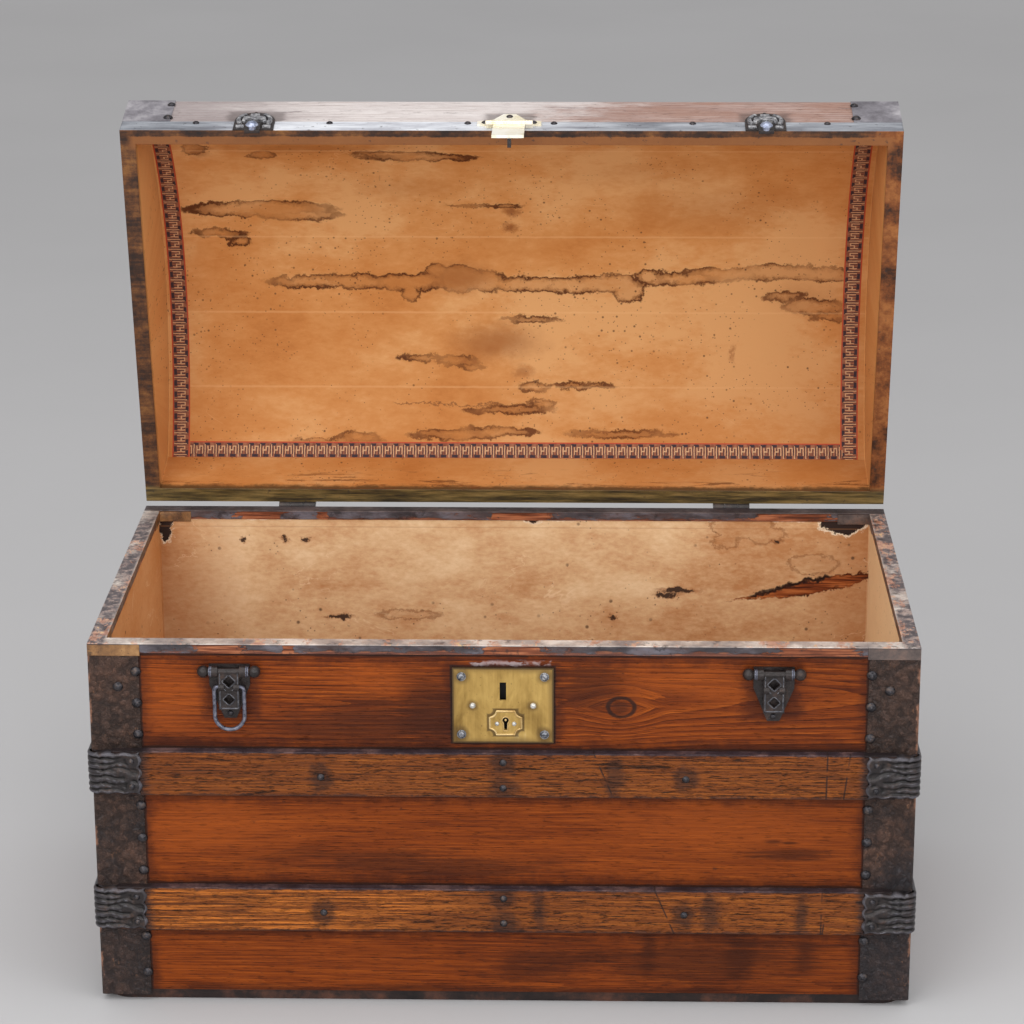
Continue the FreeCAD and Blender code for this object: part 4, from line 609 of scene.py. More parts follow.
def rim_metal(name, caps=False):
    """Sheet metal over the rim: pale on top, rubbed and with a painted highlight, blue grey on the lip,
    chipped to bare wood.

    The corner caps have the same top, and brownish gold or grey brown sides.
    """
    f = Finish(name, roughness=0.42, metallic=0.3)
    place = f.here()
    x, y, z = f.split(place)
    fine = f.noise(place, (120, 120, 150), detail=6, roughness=0.72)
    broad = f.noise(place, (20, 20, 60), detail=6, roughness=0.68)
    f.colour = f.ramp(broad, (0.34, srgb(46, 42, 46)), (0.5, srgb(76, 70, 74)), (0.64, srgb(108, 104, 112)))
    brown = f.patches(place, (26, 26, 70), 0.50, 0.60, detail=5, roughness=0.7)
    f.coat(brown * 0.30, srgb(88, 58, 44))
    # The top face is painted pale: rubbed metal, with a painted highlight where the light falls on it.
    on_top = f.fade(z, RIM_TOP - 0.0011, RIM_TOP - 0.0003)
    pale = f.ramp(broad, (0.34, srgb(126, 118, 118)), (0.48, srgb(180, 168, 160)),
                  (0.60, srgb(222, 212, 202)))
    flank = f.fade(abs(x), HALF_WIDTH - 0.018, HALF_WIDTH - 0.013)
    rear = f.fade(y, REAR, REAR + 0.006)
    grime = f.ramp(fine, (0.36, srgb(54, 48, 50)), (0.5, srgb(104, 96, 98)), (0.60, srgb(168, 150, 142)))
    back_edge = f.ramp(broad, (0.36, srgb(48, 40, 42)), (0.5, srgb(74, 64, 66)), (0.64, srgb(104, 92, 92)))
    pale = f.mix(flank * f.patches(place, 12, 0.40, 0.50, detail=6, roughness=0.75), pale, grime)
    pale = f.mix(rear, pale, back_edge)
    f.coat(on_top, pale)
    flakes = f.patches(place, (48, 24, 48), 0.54, 0.58, detail=6, roughness=0.75)
    flakes = flakes * on_top * f.fade(y, REAR + 0.006, REAR)
    flesh = f.ramp(fine, (0.4, srgb(170, 116, 90)), (0.55, srgb(206, 160, 138)), (0.65, srgb(224, 190, 130)))
    f.coat(flakes * 0.8, flesh)
    stretches = f.least(*[abs(x - at) / reach for at, reach in CHIPS])
    ragged = (fine - 0.5) * 1.5 + (f.noise(place, (34, 34, 200), detail=4) - 0.5) * 1.6
    bare = f.fade(stretches + ragged, 1.04, 0.94)
    worn = f.patches(place, (34, 34, 90), 0.58, 0.62, detail=7, roughness=0.8)
    low_edge = f.fade(z - RIM_FOOT + (broad - 0.5) * 0.02, 0.0030, 0.0012)
    on_side = f.fade(z, RIM_TOP - 0.0006, RIM_TOP - 0.0018)
    bare = f.most(bare, worn * 0.55, low_edge * 0.7) * on_side
    wood = f.ramp(f.noise(place, (22, 22, 420), detail=4), (0.36, srgb(84, 42, 24)),
                  (0.5, srgb(128, 68, 40)), (0.62, srgb(172, 106, 70)))
    if caps:
        smudge = f.noise(place, 42, detail=6, roughness=0.7)
        left = f.ramp(smudge, (0.32, srgb(70, 52, 44)), (0.5, srgb(136, 98, 62)), (0.68, srgb(176, 134, 88)))
        right = f.ramp(smudge, (0.32, srgb(56, 50, 50)), (0.5, srgb(94, 82, 78)), (0.68, srgb(130, 104, 92)))
        wood, bare = f.mix(f.fade(x, -0.1, 0.1), left, right), on_side
    f.coat(bare, wood)
    dark = f.patches(place, 75, 0.56, 0.66, detail=5, roughness=0.75)
    f.coat(dark * 0.65, srgb(36, 30, 32))
    return f.done(broad - bare, 0.0006, f.fade(fine, 0.3, 0.7, 0.32, 0.6))


def lid_metal(name):
    """The lid's sheet metal: dull blue grey, painted pale over the middle of the front as the glare of light
    off it, with a worn brown face where the lid meets the base, where the paper folded over the front wall is
    painted darker as shade.
    """
    f = Finish(name, roughness=0.42, metallic=0.2)
    place = f.shut()
    x, y, z = f.split(place)
    broad = f.noise(place, (14, 30, 90), detail=6, roughness=0.68)
    # The pale tones are painted glare, the light off the front of the band; the dull tones are the metal's
    # own.
    pale = f.ramp(broad, (0.34, srgb(160, 160, 168)), (0.5, srgb(200, 202, 208)), (0.64, srgb(224, 226, 230)))
    dull = f.ramp(broad, (0.34, srgb(72, 74, 82)), (0.5, srgb(106, 110, 118)), (0.64, srgb(142, 146, 154)))
    far = f.fade(x, -0.05, 0.15)
    near_end = f.fade(x, -0.24, -0.34)
    f.colour = f.mix(f.most(far * 0.75, near_end * 0.8), pale, dull)
    away = f.most(f.fade(y, -0.2, 0.0), f.fade(abs(x), HALF_WIDTH - 0.0002, HALF_WIDTH + 0.0008))
    f.coat(away, dull)
    patch = f.noise(place, (30, 30, 24), detail=7, roughness=0.75)
    streaky = f.noise(place, (12, 140, 140), detail=5, roughness=0.7)
    face = f.ramp(patch * 0.7 + streaky * 0.3, (0.38, srgb(30, 22, 20)), (0.46, srgb(62, 38, 24)),
                  (0.53, srgb(98, 60, 32)), (0.64, srgb(146, 98, 50)))
    wood = f.ramp(patch, (0.38, srgb(56, 30, 14)), (0.5, srgb(124, 68, 28)), (0.62, srgb(160, 100, 50)))
    face = f.mix(f.fade(x, 0.36, 0.395), face, wood)
    olive = f.ramp(streaky, (0.38, srgb(52, 42, 26)), (0.5, srgb(98, 80, 44)), (0.62, srgb(140, 114, 66)))
    face = f.mix(f.fade(y, REAR, REAR + 0.008), face, olive)
    # The paper folded over the foot of the front wall is painted darker, as shade, to match the shaded paper
    # beside it, since it faces the light more.
    folded_shaded = f.mix(patch, srgb(126, 74, 36), srgb(152, 98, 52))
    inner = f.fade(y + (patch - 0.5) * 0.007, FRONT + 0.0052, FRONT + 0.0062)
    inner = inner * f.fade(y, -0.195, -0.205)
    inner = inner * f.fade(abs(x), HALF_WIDTH - 0.005, HALF_WIDTH - 0.014)
    face = f.mix(inner * 0.92, face, folded_shaded)
    on_face = f.fade(z, LID_EDGE + 0.0009, LID_EDGE + 0.0004)
    f.coat(on_face, face)
    speck = f.patches(place, 150, 0.64, 0.72, detail=3)
    f.coat(speck * 0.6, srgb(46, 40, 42))
    return f.done(broad, 0.0005, f.fade(patch, 0.3, 0.7, 0.35, 0.6))


def lid_wood(name):
    """The lid's front board, painted pale grey at one end as the glare of light off it, darker grey brown at
    the very tip of that end where the glare gives way, and stained pink brown at the other.
    """
    f = Finish(name, roughness=0.5, specular=0.4)
    place = f.shut()
    x, _, z = f.split(place)
    # The pale grey grain is painted glare, the light off the board; the rosy grain is the board's own stained
    # colour.
    glare_pale, height = grain(f, place, "x", GLARE_PALE, pores=0.35, rings=0.10)
    stained = grain(f, place, "x", ROSY, pores=0.7, rings=0.12)[0]
    blotch = f.noise(place, (8, 30, 30), detail=6, roughness=0.7)
    amount = f.fade(x + (blotch - 0.5) * 0.5, 0.00, 0.14)
    f.colour = f.mix(amount, glare_pale, stained)
    patchy = f.patches(place, (9, 40, 40), 0.42, 0.60, detail=6, roughness=0.72)
    f.coat(patchy * f.fade(x, 0.05, 0.16) * 0.45, srgb(136, 92, 70))
    # Darker grey brown at the far left end, where the painted glare gives way.
    beyond_glare = f.fade(x + (blotch - 0.5) * 0.3, -0.18, -0.33)
    f.coat(beyond_glare * 0.65, srgb(112, 96, 96))
    dirt = f.patches(place, (24, 110, 110), 0.60, 0.68, detail=5, roughness=0.75)
    f.coat(dirt * 0.6, srgb(74, 58, 56))
    fittings = f.least(*[f.from_box(x, z, at, LID_EDGE + 0.020, 0.024, 0.027)
                         for at in (*LATCHES_X, HASP_X)])
    halo = f.fade(fittings + (blotch - 0.5) * 0.03, 0.008, -0.001)
    f.coat(halo * 0.55, srgb(70, 58, 56))
    return f.done(height, 0.0005)


def plain_metal(name, stops, metallic=0.5, roughness=0.42, lid=False):
    """Smudged tin, iron or brass, from three tones."""
    f = Finish(name, roughness=roughness, metallic=metallic)
    place = f.shut() if lid else f.here()
    smudge = f.noise(place, 30, detail=6, roughness=0.7)
    f.colour = f.ramp(smudge, *[(0.32 + 0.18 * i, stop) for i, stop in enumerate(stops)])
    return f.done(smudge, 0.0006)


# ---------------------------------------------------------------- lining

PAPER_DEPTH = 0.0014
PAPER = (srgb(180, 112, 54), srgb(194, 128, 68), srgb(203, 141, 82), srgb(214, 160, 104))

# Water stains on the dome's lining: middle along the trunk, middle along the dome from its crown towards
# the front edge, and half the length of each of these, in millimetres. A share of the last one is used.
STAIN_SHARE = 0.58
STAINS = (
    (-225, -26, 52, 12), (-180, -25, 46, 14), (-120, -26, 50, 16), (-60, -22, 26, 27), (-32, -26, 22, 23),
    (-118, -38, 10, 19), (-88, -14, 12, 15), (10, -29, 60, 14), (60, -30, 34, 15), (100, -27, 40, 18),
    (126, -36, 18, 24), (150, -20, 14, 18), (190, -22, 50, 12), (235, -16, 50, 13), (300, -14, 60, 15),
    (345, -15, 30, 15), (-281, 66, 80, 17), (-240, 58, 44, 12), (-328, 34, 26, 9), (-306, 24, 12, 11),
    (-103, 145, 57, 10), (-130, 150, 40, 9), (-273, 148, 14, 9), (-345, 160, 14, 16), (-36, 71, 26, 3),
    (-9, 70, 10, 5), (-106, -114, 20, 6), (-66, -117, 21, 9), (-50, -124, 12, 6), (20, -146, 18, 9),
    (64, -144, 18, 6), (92, -144, 14, 4), (-6, -172, 42, 7), (28, -166, 14, 9), (-66, -200, 48, 9),
    (-20, -197, 40, 9), (119, -199, 50, 7), (332, -54, 34, 15), (300, -42, 20, 8), (352, -66, 18, 8),
    (-200, -208, 43, 7), (-176, -204, 20, 10), (16, -70, 26, 6),
)
# Brown clouds in the paper: middle along, middle over the dome, half sizes, strength.
CLOUDS = (
    (-14, -95, 62, 26, 0.55), (-6, 42, 12, 8, 0.8), (-4, 62, 12, 7, 0.8), (220, 70, 120, 40, 0.22),
    (-120, 95, 70, 20, 0.14), (-60, -22, 40, 22, 0.45), (320, -40, 60, 26, 0.30), (243, -108, 5, 12, 0.6),
    (-340, 155, 14, 16, 0.6), (140, 120, 120, 30, 0.15), (-230, 160, 140, 10, 0.35), (8, -128, 16, 9, 0.5),
)


def lid_paper(name):
    """Tan paper glued inside the lid, browner towards the front, with tide lines left by water."""
    f = Finish(name, roughness=0.72, specular=0.2)
    place = f.shut()
    x, y, z = f.split(place)
    arc = (f.math("ARCTAN2", z - DOME_AXIS_Z, y) - math.pi / 2) * DOME_LINED
    sheet = f.vector(x, arc, z * 0.3)
    cloud = f.noise(sheet, (5, 8, 1), detail=8, roughness=0.64)
    fibre = f.noise(sheet, (90, 190, 1), detail=4, roughness=0.7)
    tone = cloud * 0.66 + fibre * 0.12
    # Painted light: the tone is raised nearly as much at the front of the lining, the top of the open lid, as
    # at the back, to make up for the light falling off there.
    tone = tone + f.fade(arc, 0.20, -0.24, 0.075, 0.080)
    f.colour = f.ramp(tone, *[(0.33 + 0.065 * i, stop) for i, stop in enumerate(PAPER)])
    drift = f.node("TexNoise", {"Vector": sheet, "Scale": 62.0, "Detail": 8.0, "Roughness": 0.74}, out=1)
    drift_x, drift_arc = f.split(drift)[:2]
    at_x = x + (drift_x - 0.5) * 0.034
    at_arc = arc + (drift_arc - 0.5) * 0.024
    field = None
    for middle_x, middle_arc, half_x, half_arc in STAINS:
        reach = STAIN_SHARE * half_arc * MM
        spot = f.from_spot(at_x, at_arc, middle_x * MM, middle_arc * MM, half_x * MM, reach)
        gap = (spot - 1.0) * reach
        field = gap if field is None else f.least(field, gap)
    on_dome = f.fade(abs(y), LINED_Y - 0.002, LINED_Y - 0.003)
    on_dome = on_dome * f.fade(abs(x), LINED_X - 0.0015, LINED_X - 0.0025)
    vary = f.patches(sheet, (20, 20, 1), 0.36, 0.60, first=0.35, detail=4)
    line = f.fade(abs(field), 0.0016, 0.0004) * on_dome * vary
    inner = f.fade(field, 0.0005, -0.004) * on_dome
    blush = f.fade(abs(field + 0.0016), 0.0034, 0.0) * on_dome * vary
    f.coat(inner * 0.26, srgb(150, 92, 44))
    f.coat(blush * 0.62, srgb(124, 70, 30))
    for middle_x, middle_arc, half_x, half_arc, strength in CLOUDS:
        reach = f.from_spot(at_x, at_arc, middle_x * MM, middle_arc * MM, half_x * MM, half_arc * MM)
        amount = f.fade(reach + (cloud - 0.5) * 1.5, 1.25, 0.15) * strength
        f.coat(amount * on_dome, srgb(132, 74, 34))
    f.coat(line * 0.95, srgb(84, 42, 18))
    for seam in (0.1555, 0.0294, -0.0618, -0.1464):
        ridge = f.fade(abs(arc + (drift_arc - 0.5) * 0.002 - seam), 0.0018, 0.0002)
        f.coat(ridge * on_dome * 0.35, srgb(226, 176, 122))
    creases = f.fade(abs(f.noise(sheet, (5, 9, 1), detail=4, distortion=0.8) - 0.5), 0.004, 0.0)
    creases = creases * f.patches(sheet, (11, 11, 1), 0.54, 0.62, detail=2)
    f.coat(creases * 0.35, srgb(222, 172, 118))
    thin = f.fade(abs(at_arc + 0.166), 0.0010, 0.0003)
    thin = thin * f.from_between(x, -0.136, 0.030)
    f.coat(thin * on_dome * 0.75, srgb(104, 64, 36))
    right = f.fade(x, -0.10, 0.36) * f.fade(arc, -0.24, 0.10, 0.24, 0.05)
    f.coat(right + f.fade(arc, -0.08, -0.24, 0.0, 0.20), srgb(150, 86, 36))
    ends = f.fade(abs(x), LINED_X - 0.0025, LINED_X - 0.0015)
    f.coat(ends * 0.6, f.mix(cloud, srgb(196, 134, 76), srgb(226, 174, 112)))
    for scale, size, threshold in ((95.0, 0.16, 0.48), (190.0, 0.17, 0.44)):
        dots = f.fade(f.cells(sheet, scale), size, size * 0.45)
        dots = dots * f.patches(sheet, (12, 12, 1), threshold, threshold + 0.1, detail=4)
        f.coat(dots * 0.75, srgb(70, 42, 26))
    foot = f.fade(z + (drift_x - 0.5) * 0.02, LID_EDGE + 0.013, LID_EDGE + 0.003)
    rear = f.fade(y, LINED_Y - 0.006, LINED_Y - 0.002)
    f.coat(foot * rear * 0.9, srgb(66, 50, 28))
    f.coat(foot * 0.45, srgb(96, 64, 34))
    knots = f.patches(place, (9, 50, 75), 0.57, 0.60, detail=7, roughness=0.78, distortion=0.6)
    knots = knots * rear * f.fade(z, LID_EDGE + 0.055, LID_EDGE + 0.020)
    f.coat(knots * 0.75, srgb(100, 56, 26))
    return f.done(cloud + line * 0.25 + fibre * 0.12, PAPER_DEPTH)


# Bare and torn places on the base's back lining: middle across, middle height, half sizes, in millimetres.
TEARS = ((366, 376, 23, 15), (350, 374, 12, 8), (-368, 387, 14, 8), (-384, 366, 8, 17), (20, 383, 12, 10),
         (2, 386, 8, 4))
GOUGES = ((184, 294, 18, 3.0), (168, 289, 12, 2.4), (-190, 261, 11, 3.2), (-200, 260, 8, 2.0),
          (110, 262, 3, 2), (20, 375, 5, 2.5), (-300, 350, 3, 2.5), (-255, 352, 4, 2.4),
          (-230, 352, 4, 2.2), (290, 352, 4, 2))
FAINT = ((-118, 264, 32, 5), (250, 370, 34, 15), (232, 352, 14, 8), (278, 360, 20, 10), (330, 325, 26, 12))


def base_paper(name):
    """Paler paper in the base: cloudy, torn along the rim, with gouges through to the wood."""
    f = Finish(name, roughness=0.75, specular=0.2)
    place = f.here()
    x, y, z = f.split(place)
    cloud = f.noise(place, (7, 7, 13), detail=8, roughness=0.68)
    fibre = f.noise(place, (120, 120, 240), detail=4, roughness=0.7)
    tone = cloud * 0.75 + fibre * 0.25
    f.colour = f.ramp(tone, (0.38, srgb(176, 124, 80)), (0.47, srgb(194, 150, 108)),
                      (0.54, srgb(206, 168, 126)), (0.64, srgb(220, 188, 148)))
    left = f.fade(x, -LINED_X + 0.003, -LINED_X + 0.001)
    f.coat(left * 0.65, srgb(204, 138, 78))
    right = f.fade(x, LINED_X - 0.003, LINED_X - 0.001)
    f.coat(right * 0.75, srgb(244, 214, 168))
    drift = f.node("TexNoise", {"Vector": place, "Scale": 85.0, "Detail": 8.0, "Roughness": 0.74}, out=1)
    drift_x, drift_z = f.split(drift)[::2]
    at_x = x + (drift_x - 0.5) * 0.034
    at_z = z + (drift_z - 0.5) * 0.020
    back = f.fade(y, LINED_Y - 0.004, LINED_Y - 0.0025)
    ends = f.fade(abs(x) + (cloud - 0.5) * 0.2, 0.31, 0.39) * back
    f.coat(ends * 0.40, srgb(160, 92, 40))

    def area(places):
        """Distance outside the nearest of some spots, given in millimetres."""
        gaps = []
        for spot in places:
            from_middle = f.from_spot(at_x, at_z, *[value * MM for value in spot])
            gaps.append((from_middle - 1.0) * (spot[3] * MM))
        return f.least(*gaps)

    uneven = (f.noise(place, (14, 14, 3), detail=6, roughness=0.75) - 0.5) * 0.016
    top_edge = RIM_TOP - 0.0075 - z + uneven
    torn = f.least(area(TEARS), top_edge)
    ragged = f.fade(abs(torn - 0.0008), 0.0020, 0.0004) * back
    f.coat(ragged * 0.75, srgb(238, 222, 196))
    bare = f.fade(torn, 0.0003, -0.0006) * back
    f.coat(bare, srgb(44, 30, 26))
    overlap = f.fade(abs(z - 0.3665), 0.0011, 0.0002) * back
    f.coat(overlap * 0.30, srgb(150, 104, 68))
    stain = area(FAINT)
    f.coat(f.fade(abs(stain), 0.0018, 0.0002) * back * 0.6, srgb(128, 80, 44))
    f.coat(f.fade(stain, 0.0, -0.004) * back * 0.16, srgb(150, 98, 56))
    # one long gouge runs out to the right, brown wood with a black upper lip
    middle = (x - 0.300) * 0.20 + 0.2935
    thick = f.fade(x, 0.232, 0.330) * f.fade(x, 0.410, 0.345, 0.45, 1.0)
    away = abs(at_z - middle) - thick * 0.0085
    cut = f.most(away, 0.236 - x)
    wood = f.ramp(f.noise(place, (20, 20, 300), detail=4), (0.36, srgb(70, 30, 14)), (0.5, srgb(128, 62, 26)),
                  (0.62, srgb(170, 98, 50)))
    f.coat(f.fade(cut, 0.0006, -0.0004) * back, wood)
    lip = f.fade(abs(at_z - middle - thick * 0.0075), 0.0034, 0.0016)
    lip = lip * f.from_between(x, 0.262, 0.350) * back
    f.coat(lip * 0.9, srgb(32, 20, 18))
    marks = area(GOUGES)
    f.coat(f.fade(marks, 0.0022, 0.0) * back * 0.55, srgb(140, 84, 46))
    f.coat(f.fade(marks, 0.0004, -0.0006) * back * 0.92, srgb(40, 26, 22))
    for scale, size, threshold in ((48.0, 0.13, 0.50), (130.0, 0.15, 0.50)):
        dots = f.fade(f.cells(place, scale), size, size * 0.4)
        dots = dots * f.patches(place, 10, threshold, threshold + 0.08, detail=4)
        f.coat(dots * 0.75, srgb(60, 38, 28))
    creases = f.fade(abs(f.noise(place, (7, 7, 12), detail=5, distortion=0.8) - 0.5), 0.005, 0.0)
    creases = creases * f.patches(place, 9, 0.52, 0.62, detail=2)
    f.coat(creases * 0.4, srgb(232, 204, 168))
    height = cloud - f.most(bare, f.fade(cut, 0.0, -0.002) * back) * 0.8
    return f.done(height, PAPER_DEPTH)


BORDER_PERIOD = 0.0125
# The meander, as rectangles inside one repeat: left, right, low, high. Dark parts first, then the cream line.
DARK_BLOCKS = ((0.30, 0.80, 0.80, 1.0), (0.02, 0.46, 0.0, 0.19), (0.10, 0.16, 0.20, 0.92),
               (0.37, 0.43, 0.24, 0.80), (0.64, 0.70, 0.20, 0.78), (0.90, 0.96, 0.10, 0.80))
CREAM_KEY = ((0.0, 0.08, 0.10, 1.0), (0.26, 0.34, 0.22, 0.76), (0.26, 0.60, 0.46, 0.55),
             (0.52, 0.60, 0.20, 0.55), (0.52, 0.84, 0.20, 0.28), (0.77, 0.85, 0.20, 0.78))


def border_print(name):
    """Printed strips with a running key between red lines; its UV map counts repeats and widths."""
    f = Finish(name, roughness=0.7, specular=0.25)
    u, v = f.split(f.node("UVMap", {}, uv_map="strip"))[:2]
    wobble = f.noise(f.vector(u, v), 3.0, detail=3) - 0.5
    u = f.math("FRACT", u + wobble * 0.10)
    ink_v = f.node("MapRange", {"Value": v, "From Min": 0.10, "From Max": 0.90}, clamp=False)

    def inside(rectangles):
        parts = []
        for left, right, bottom, top in rectangles:
            across = abs(u - (left + right) / 2) / ((right - left) / 2)
            upright = abs(ink_v - (bottom + top) / 2) / ((top - bottom) / 2)
            parts.append(f.most(across, upright))
        return f.math("LESS_THAN", f.least(*parts), 1.0)

    f.colour = f.mix(f.fade(wobble, -0.2, 0.2), srgb(118, 66, 48), srgb(152, 98, 72))
    f.coat(inside(DARK_BLOCKS) * 0.92, srgb(44, 38, 48))
    f.coat(inside(CREAM_KEY) * 0.85, srgb(204, 164, 124))
    edge = abs(v - 0.5)
    red = f.fade(edge, 0.415, 0.435)
    f.coat(red * 0.85, srgb(184, 64, 40))
    outside = f.fade(edge, 0.478, 0.495)
    f.coat(outside, srgb(200, 128, 70))
    return f.done()


def leather(name):
    """Brown leather, creased along its length."""
    f = Finish(name, roughness=0.5, specular=0.4)
    place = f.here()
    grainy = f.cells(place, 900.0, feature="SMOOTH_F1")
    crease = f.noise(place, (30, 90, 240), detail=5, roughness=0.7)
    f.colour = f.ramp(crease, (0.32, srgb(46, 28, 20)), (0.5, srgb(84, 50, 32)), (0.7, srgb(122, 78, 50)))
    return f.done(grainy * 0.4 + crease, 0.0006, f.fade(crease, 0.3, 0.7, 0.4, 0.62))


# ---------------------------------------------------------------- pieces

def new_piece(name, build, node, finish, smooth_angle=35, added=False):
    """A mesh piece filled in by build(bm), which replaces a CAD node, or is added to it, on its body."""
    mesh = bpy.data.meshes.new(name)
    bm = bmesh.new()
    build(bm)
    bmesh.ops.recalc_face_normals(bm, faces=bm.faces)
    bm.to_mesh(mesh)
    bm.free()
    piece = bpy.data.objects.new(name, mesh)
    bpy.context.scene.collection.objects.link(piece)
    mesh.materials.append(finish)
    mesh.shade_smooth()
    mesh.set_sharp_from_angle(angle=math.radians(smooth_angle))
    if not added:
        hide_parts(node)
    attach(piece, nodes[node]["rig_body"])
    return piece


def softened(node, radius, finish, segments=2, only=None):
    """A copy of a CAD node's shape with its sharp edges eased, or only the edges that a test names."""
    source = nodes[node]

    def build(bm):
        bm.from_mesh(source.data)
        bmesh.ops.remove_doubles(bm, verts=bm.verts, dist=2e-6)
        bmesh.ops.dissolve_limit(bm, angle_limit=math.radians(0.5), verts=bm.verts, edges=bm.edges)
        if only:
            bmesh.ops.bevel(bm, geom=[edge for edge in bm.edges if only(edge)], offset=radius,
                            segments=segments, profile=0.5, affect="EDGES")

    piece = new_piece(node + "_eased", build, node, finish)
    if not only:
        ease = piece.modifiers.new("ease", "BEVEL")
        ease.width = radius
        ease.segments = segments
        ease.limit_method = "ANGLE"
        ease.angle_limit = math.radians(35)
        ease.harden_normals = True


def upright_corner(edge):
    (x1, y1, z1), (x2, y2, z2) = edge.verts[0].co, edge.verts[1].co
    reach = HALF_WIDTH + 0.001
    return abs(z1 - z2) > 0.01 and abs(x1) > reach and abs(x2) > reach and abs(y1) > -FRONT + 0.001 < abs(y2)


def fuller(node, factor, finish):
    """A copy of a node made of many small heads, each grown about the middle of its own foot."""
    source = nodes[node]

    def build(bm):
        bm.from_mesh(source.data)
        bmesh.ops.remove_doubles(bm, verts=bm.verts, dist=2e-6)
        left = dict.fromkeys(bm.verts)
        while left:
            head = [left.popitem()[0]]
            for vert in head:
                for link in vert.link_edges:
                    other = link.other_vert(vert)
                    if other in left:
                        del left[other]
                        head.append(other)
            middle = sum((vert.co for vert in head), Vector()) / len(head)
            grown = {vert: middle + (vert.co - middle) * factor for vert in head}
            if all(cad_box[0][k] < (source.matrix_world @ co)[k] < cad_box[1][k]
                   for co in grown.values() for k in range(3)):
                for vert, co in grown.items():
                    vert.co = co

    new_piece(node + "_fuller", build, node, finish, 50)


def finish_nodes(finish, *names):
    for name in names:
        for slot in nodes[name].material_slots:
            slot.material = finish


# ---------------------------------------------------------------- shapes drawn by rule

def swung(point):
    """A point of the shut lid, where it lies with the lid open."""
    return Matrix.Rotation(-LID_OPEN, 3, "X") @ (Vector(point) - HINGE) + HINGE


def as_it_is(point):
    """The place of a point that doesn't swing with the lid."""
    return Vector(point)


def grid(bm, rows, closed_across=False):
    """Faces between rows of points; returns the vertices."""
    made = [[bm.verts.new(point) for point in row] for row in rows]
    for before, after in zip(made, made[1:]):
        count = len(before) if closed_across else len(before) - 1
        for k in range(count):
            bm.faces.new((before[k], before[(k + 1) % len(before)], after[(k + 1) % len(after)], after[k]))
    return made


def tube(bm, points, radius, sides=12, closed=False):
    """A round bar along a line of points; the radius may be a function of the point's number."""
    points = [Vector(point) for point in points]
    count = len(points)
    guide = None
    rows = []
    for i, point in enumerate(points):
        before = points[i - 1] if i or closed else point
        after = points[(i + 1) % count] if i + 1 < count or closed else point
        along = (after - before).normalized()
        if guide is None:
            guide = along.orthogonal().normalized()
        guide = (guide - along * guide.dot(along)).normalized()
        other = along.cross(guide)
        reach = radius(i) if callable(radius) else radius
        rows.append([point + (guide * math.cos(t) + other * math.sin(t)) * reach
                     for t in (2 * math.pi * k / sides for k in range(sides))])
    if closed:
        rows.append(rows[0])
    made = grid(bm, rows, True)
    if not closed:
        bm.faces.new(made[0][::-1])
        bm.faces.new(made[-1])


def turned(bm, centre, profile, place=as_it_is, sides=32, slot=0.0, slot_turn=0.0):
    """A round piece facing -Y, from a profile of (radius, rise) pairs; a slot may cross its head."""
    rows = []
    for radius, rise in profile:
        row = []
        for k in range(sides):
            t = 2 * math.pi * k / sides
            a, b = radius * math.cos(t), radius * math.sin(t)
            across = a * math.sin(slot_turn) - b * math.cos(slot_turn)
            sunk = rise - 0.0009 if slot and abs(across) < slot else rise
            row.append(place((centre[0] + a, centre[1] - sunk, centre[2] + b)))
        rows.append(row)
    made = grid(bm, rows, True)
    bm.faces.new(made[-1])


def slab(bm, outline, front, back, place=as_it_is, edge=0.0004, hole=None):
    """A flat piece in an upright plane, from an outline of (x, z) pairs, with its front edge eased."""
    def ring(points, y, inset):
        middle = sum(map(Vector, points), Vector((0, 0))) / len(points)
        made = []
        for x, z in points:
            step = (middle - Vector((x, z))).normalized() * inset
            made.append(bm.verts.new(place((x + step[0], y, z + step[1]))))
        return made

    def walls(first, second):
        edges = []
        for k in range(len(first)):
            m = (k + 1) % len(first)
            bm.faces.new((first[k], first[m], second[m], second[k]))
            edges.append(bm.edges.get((second[k], second[m])))
        return edges

    base, side, face = ring(outline, back, 0.0), ring(outline, front + edge, 0.0), ring(outline, front, edge)
    walls(base, side)
    rim = walls(side, face)
    if hole:
        inner, deep = ring(hole, front, 0.0), ring(hole, back, 0.0)
        walls(inner, deep)
        lip = [bm.edges.get((inner[k], inner[(k + 1) % len(inner)])) for k in range(len(inner))]
        bmesh.ops.triangle_fill(bm, use_beauty=True, edges=rim + lip)
    else:
        bm.faces.new(face)
        bm.faces.new(base[::-1])


def arc(middle, radius, start, end, steps):
    """Points on a circle in an upright plane, from one angle in degrees to another."""
    return [(middle[0] + radius * math.cos(math.radians(start + (end - start) * i / steps)),
             middle[1] + radius * math.sin(math.radians(start + (end - start) * i / steps)))
            for i in range(steps + 1)]


# ---------------------------------------------------------------- the border's printed strips

BORDER_WIDTH = 0.0200
BORDER_RADIUS = DOME_LINED - 0.0003
BORDER_EDGE = 0.2288  # along the lining, from the crown to the outer edge of the front and back strips
DOME_TURN = 0.2268    # along the lining, from the crown to where the dome meets the lid's walls


def lining_point(x, along):
    """A point just off the open lid's lining, from its place along the trunk and over the dome."""
    angle = math.pi / 2 + max(-DOME_TURN, min(DOME_TURN, along)) / DOME_LINED
    y, z = BORDER_RADIUS * math.cos(angle), DOME_AXIS_Z + BORDER_RADIUS * math.sin(angle)
    beyond = abs(along) - DOME_TURN
    if beyond > 0:
        y = math.copysign(LINED_Y - 0.0003, y)
        z -= beyond
    return swung((x, y, z))


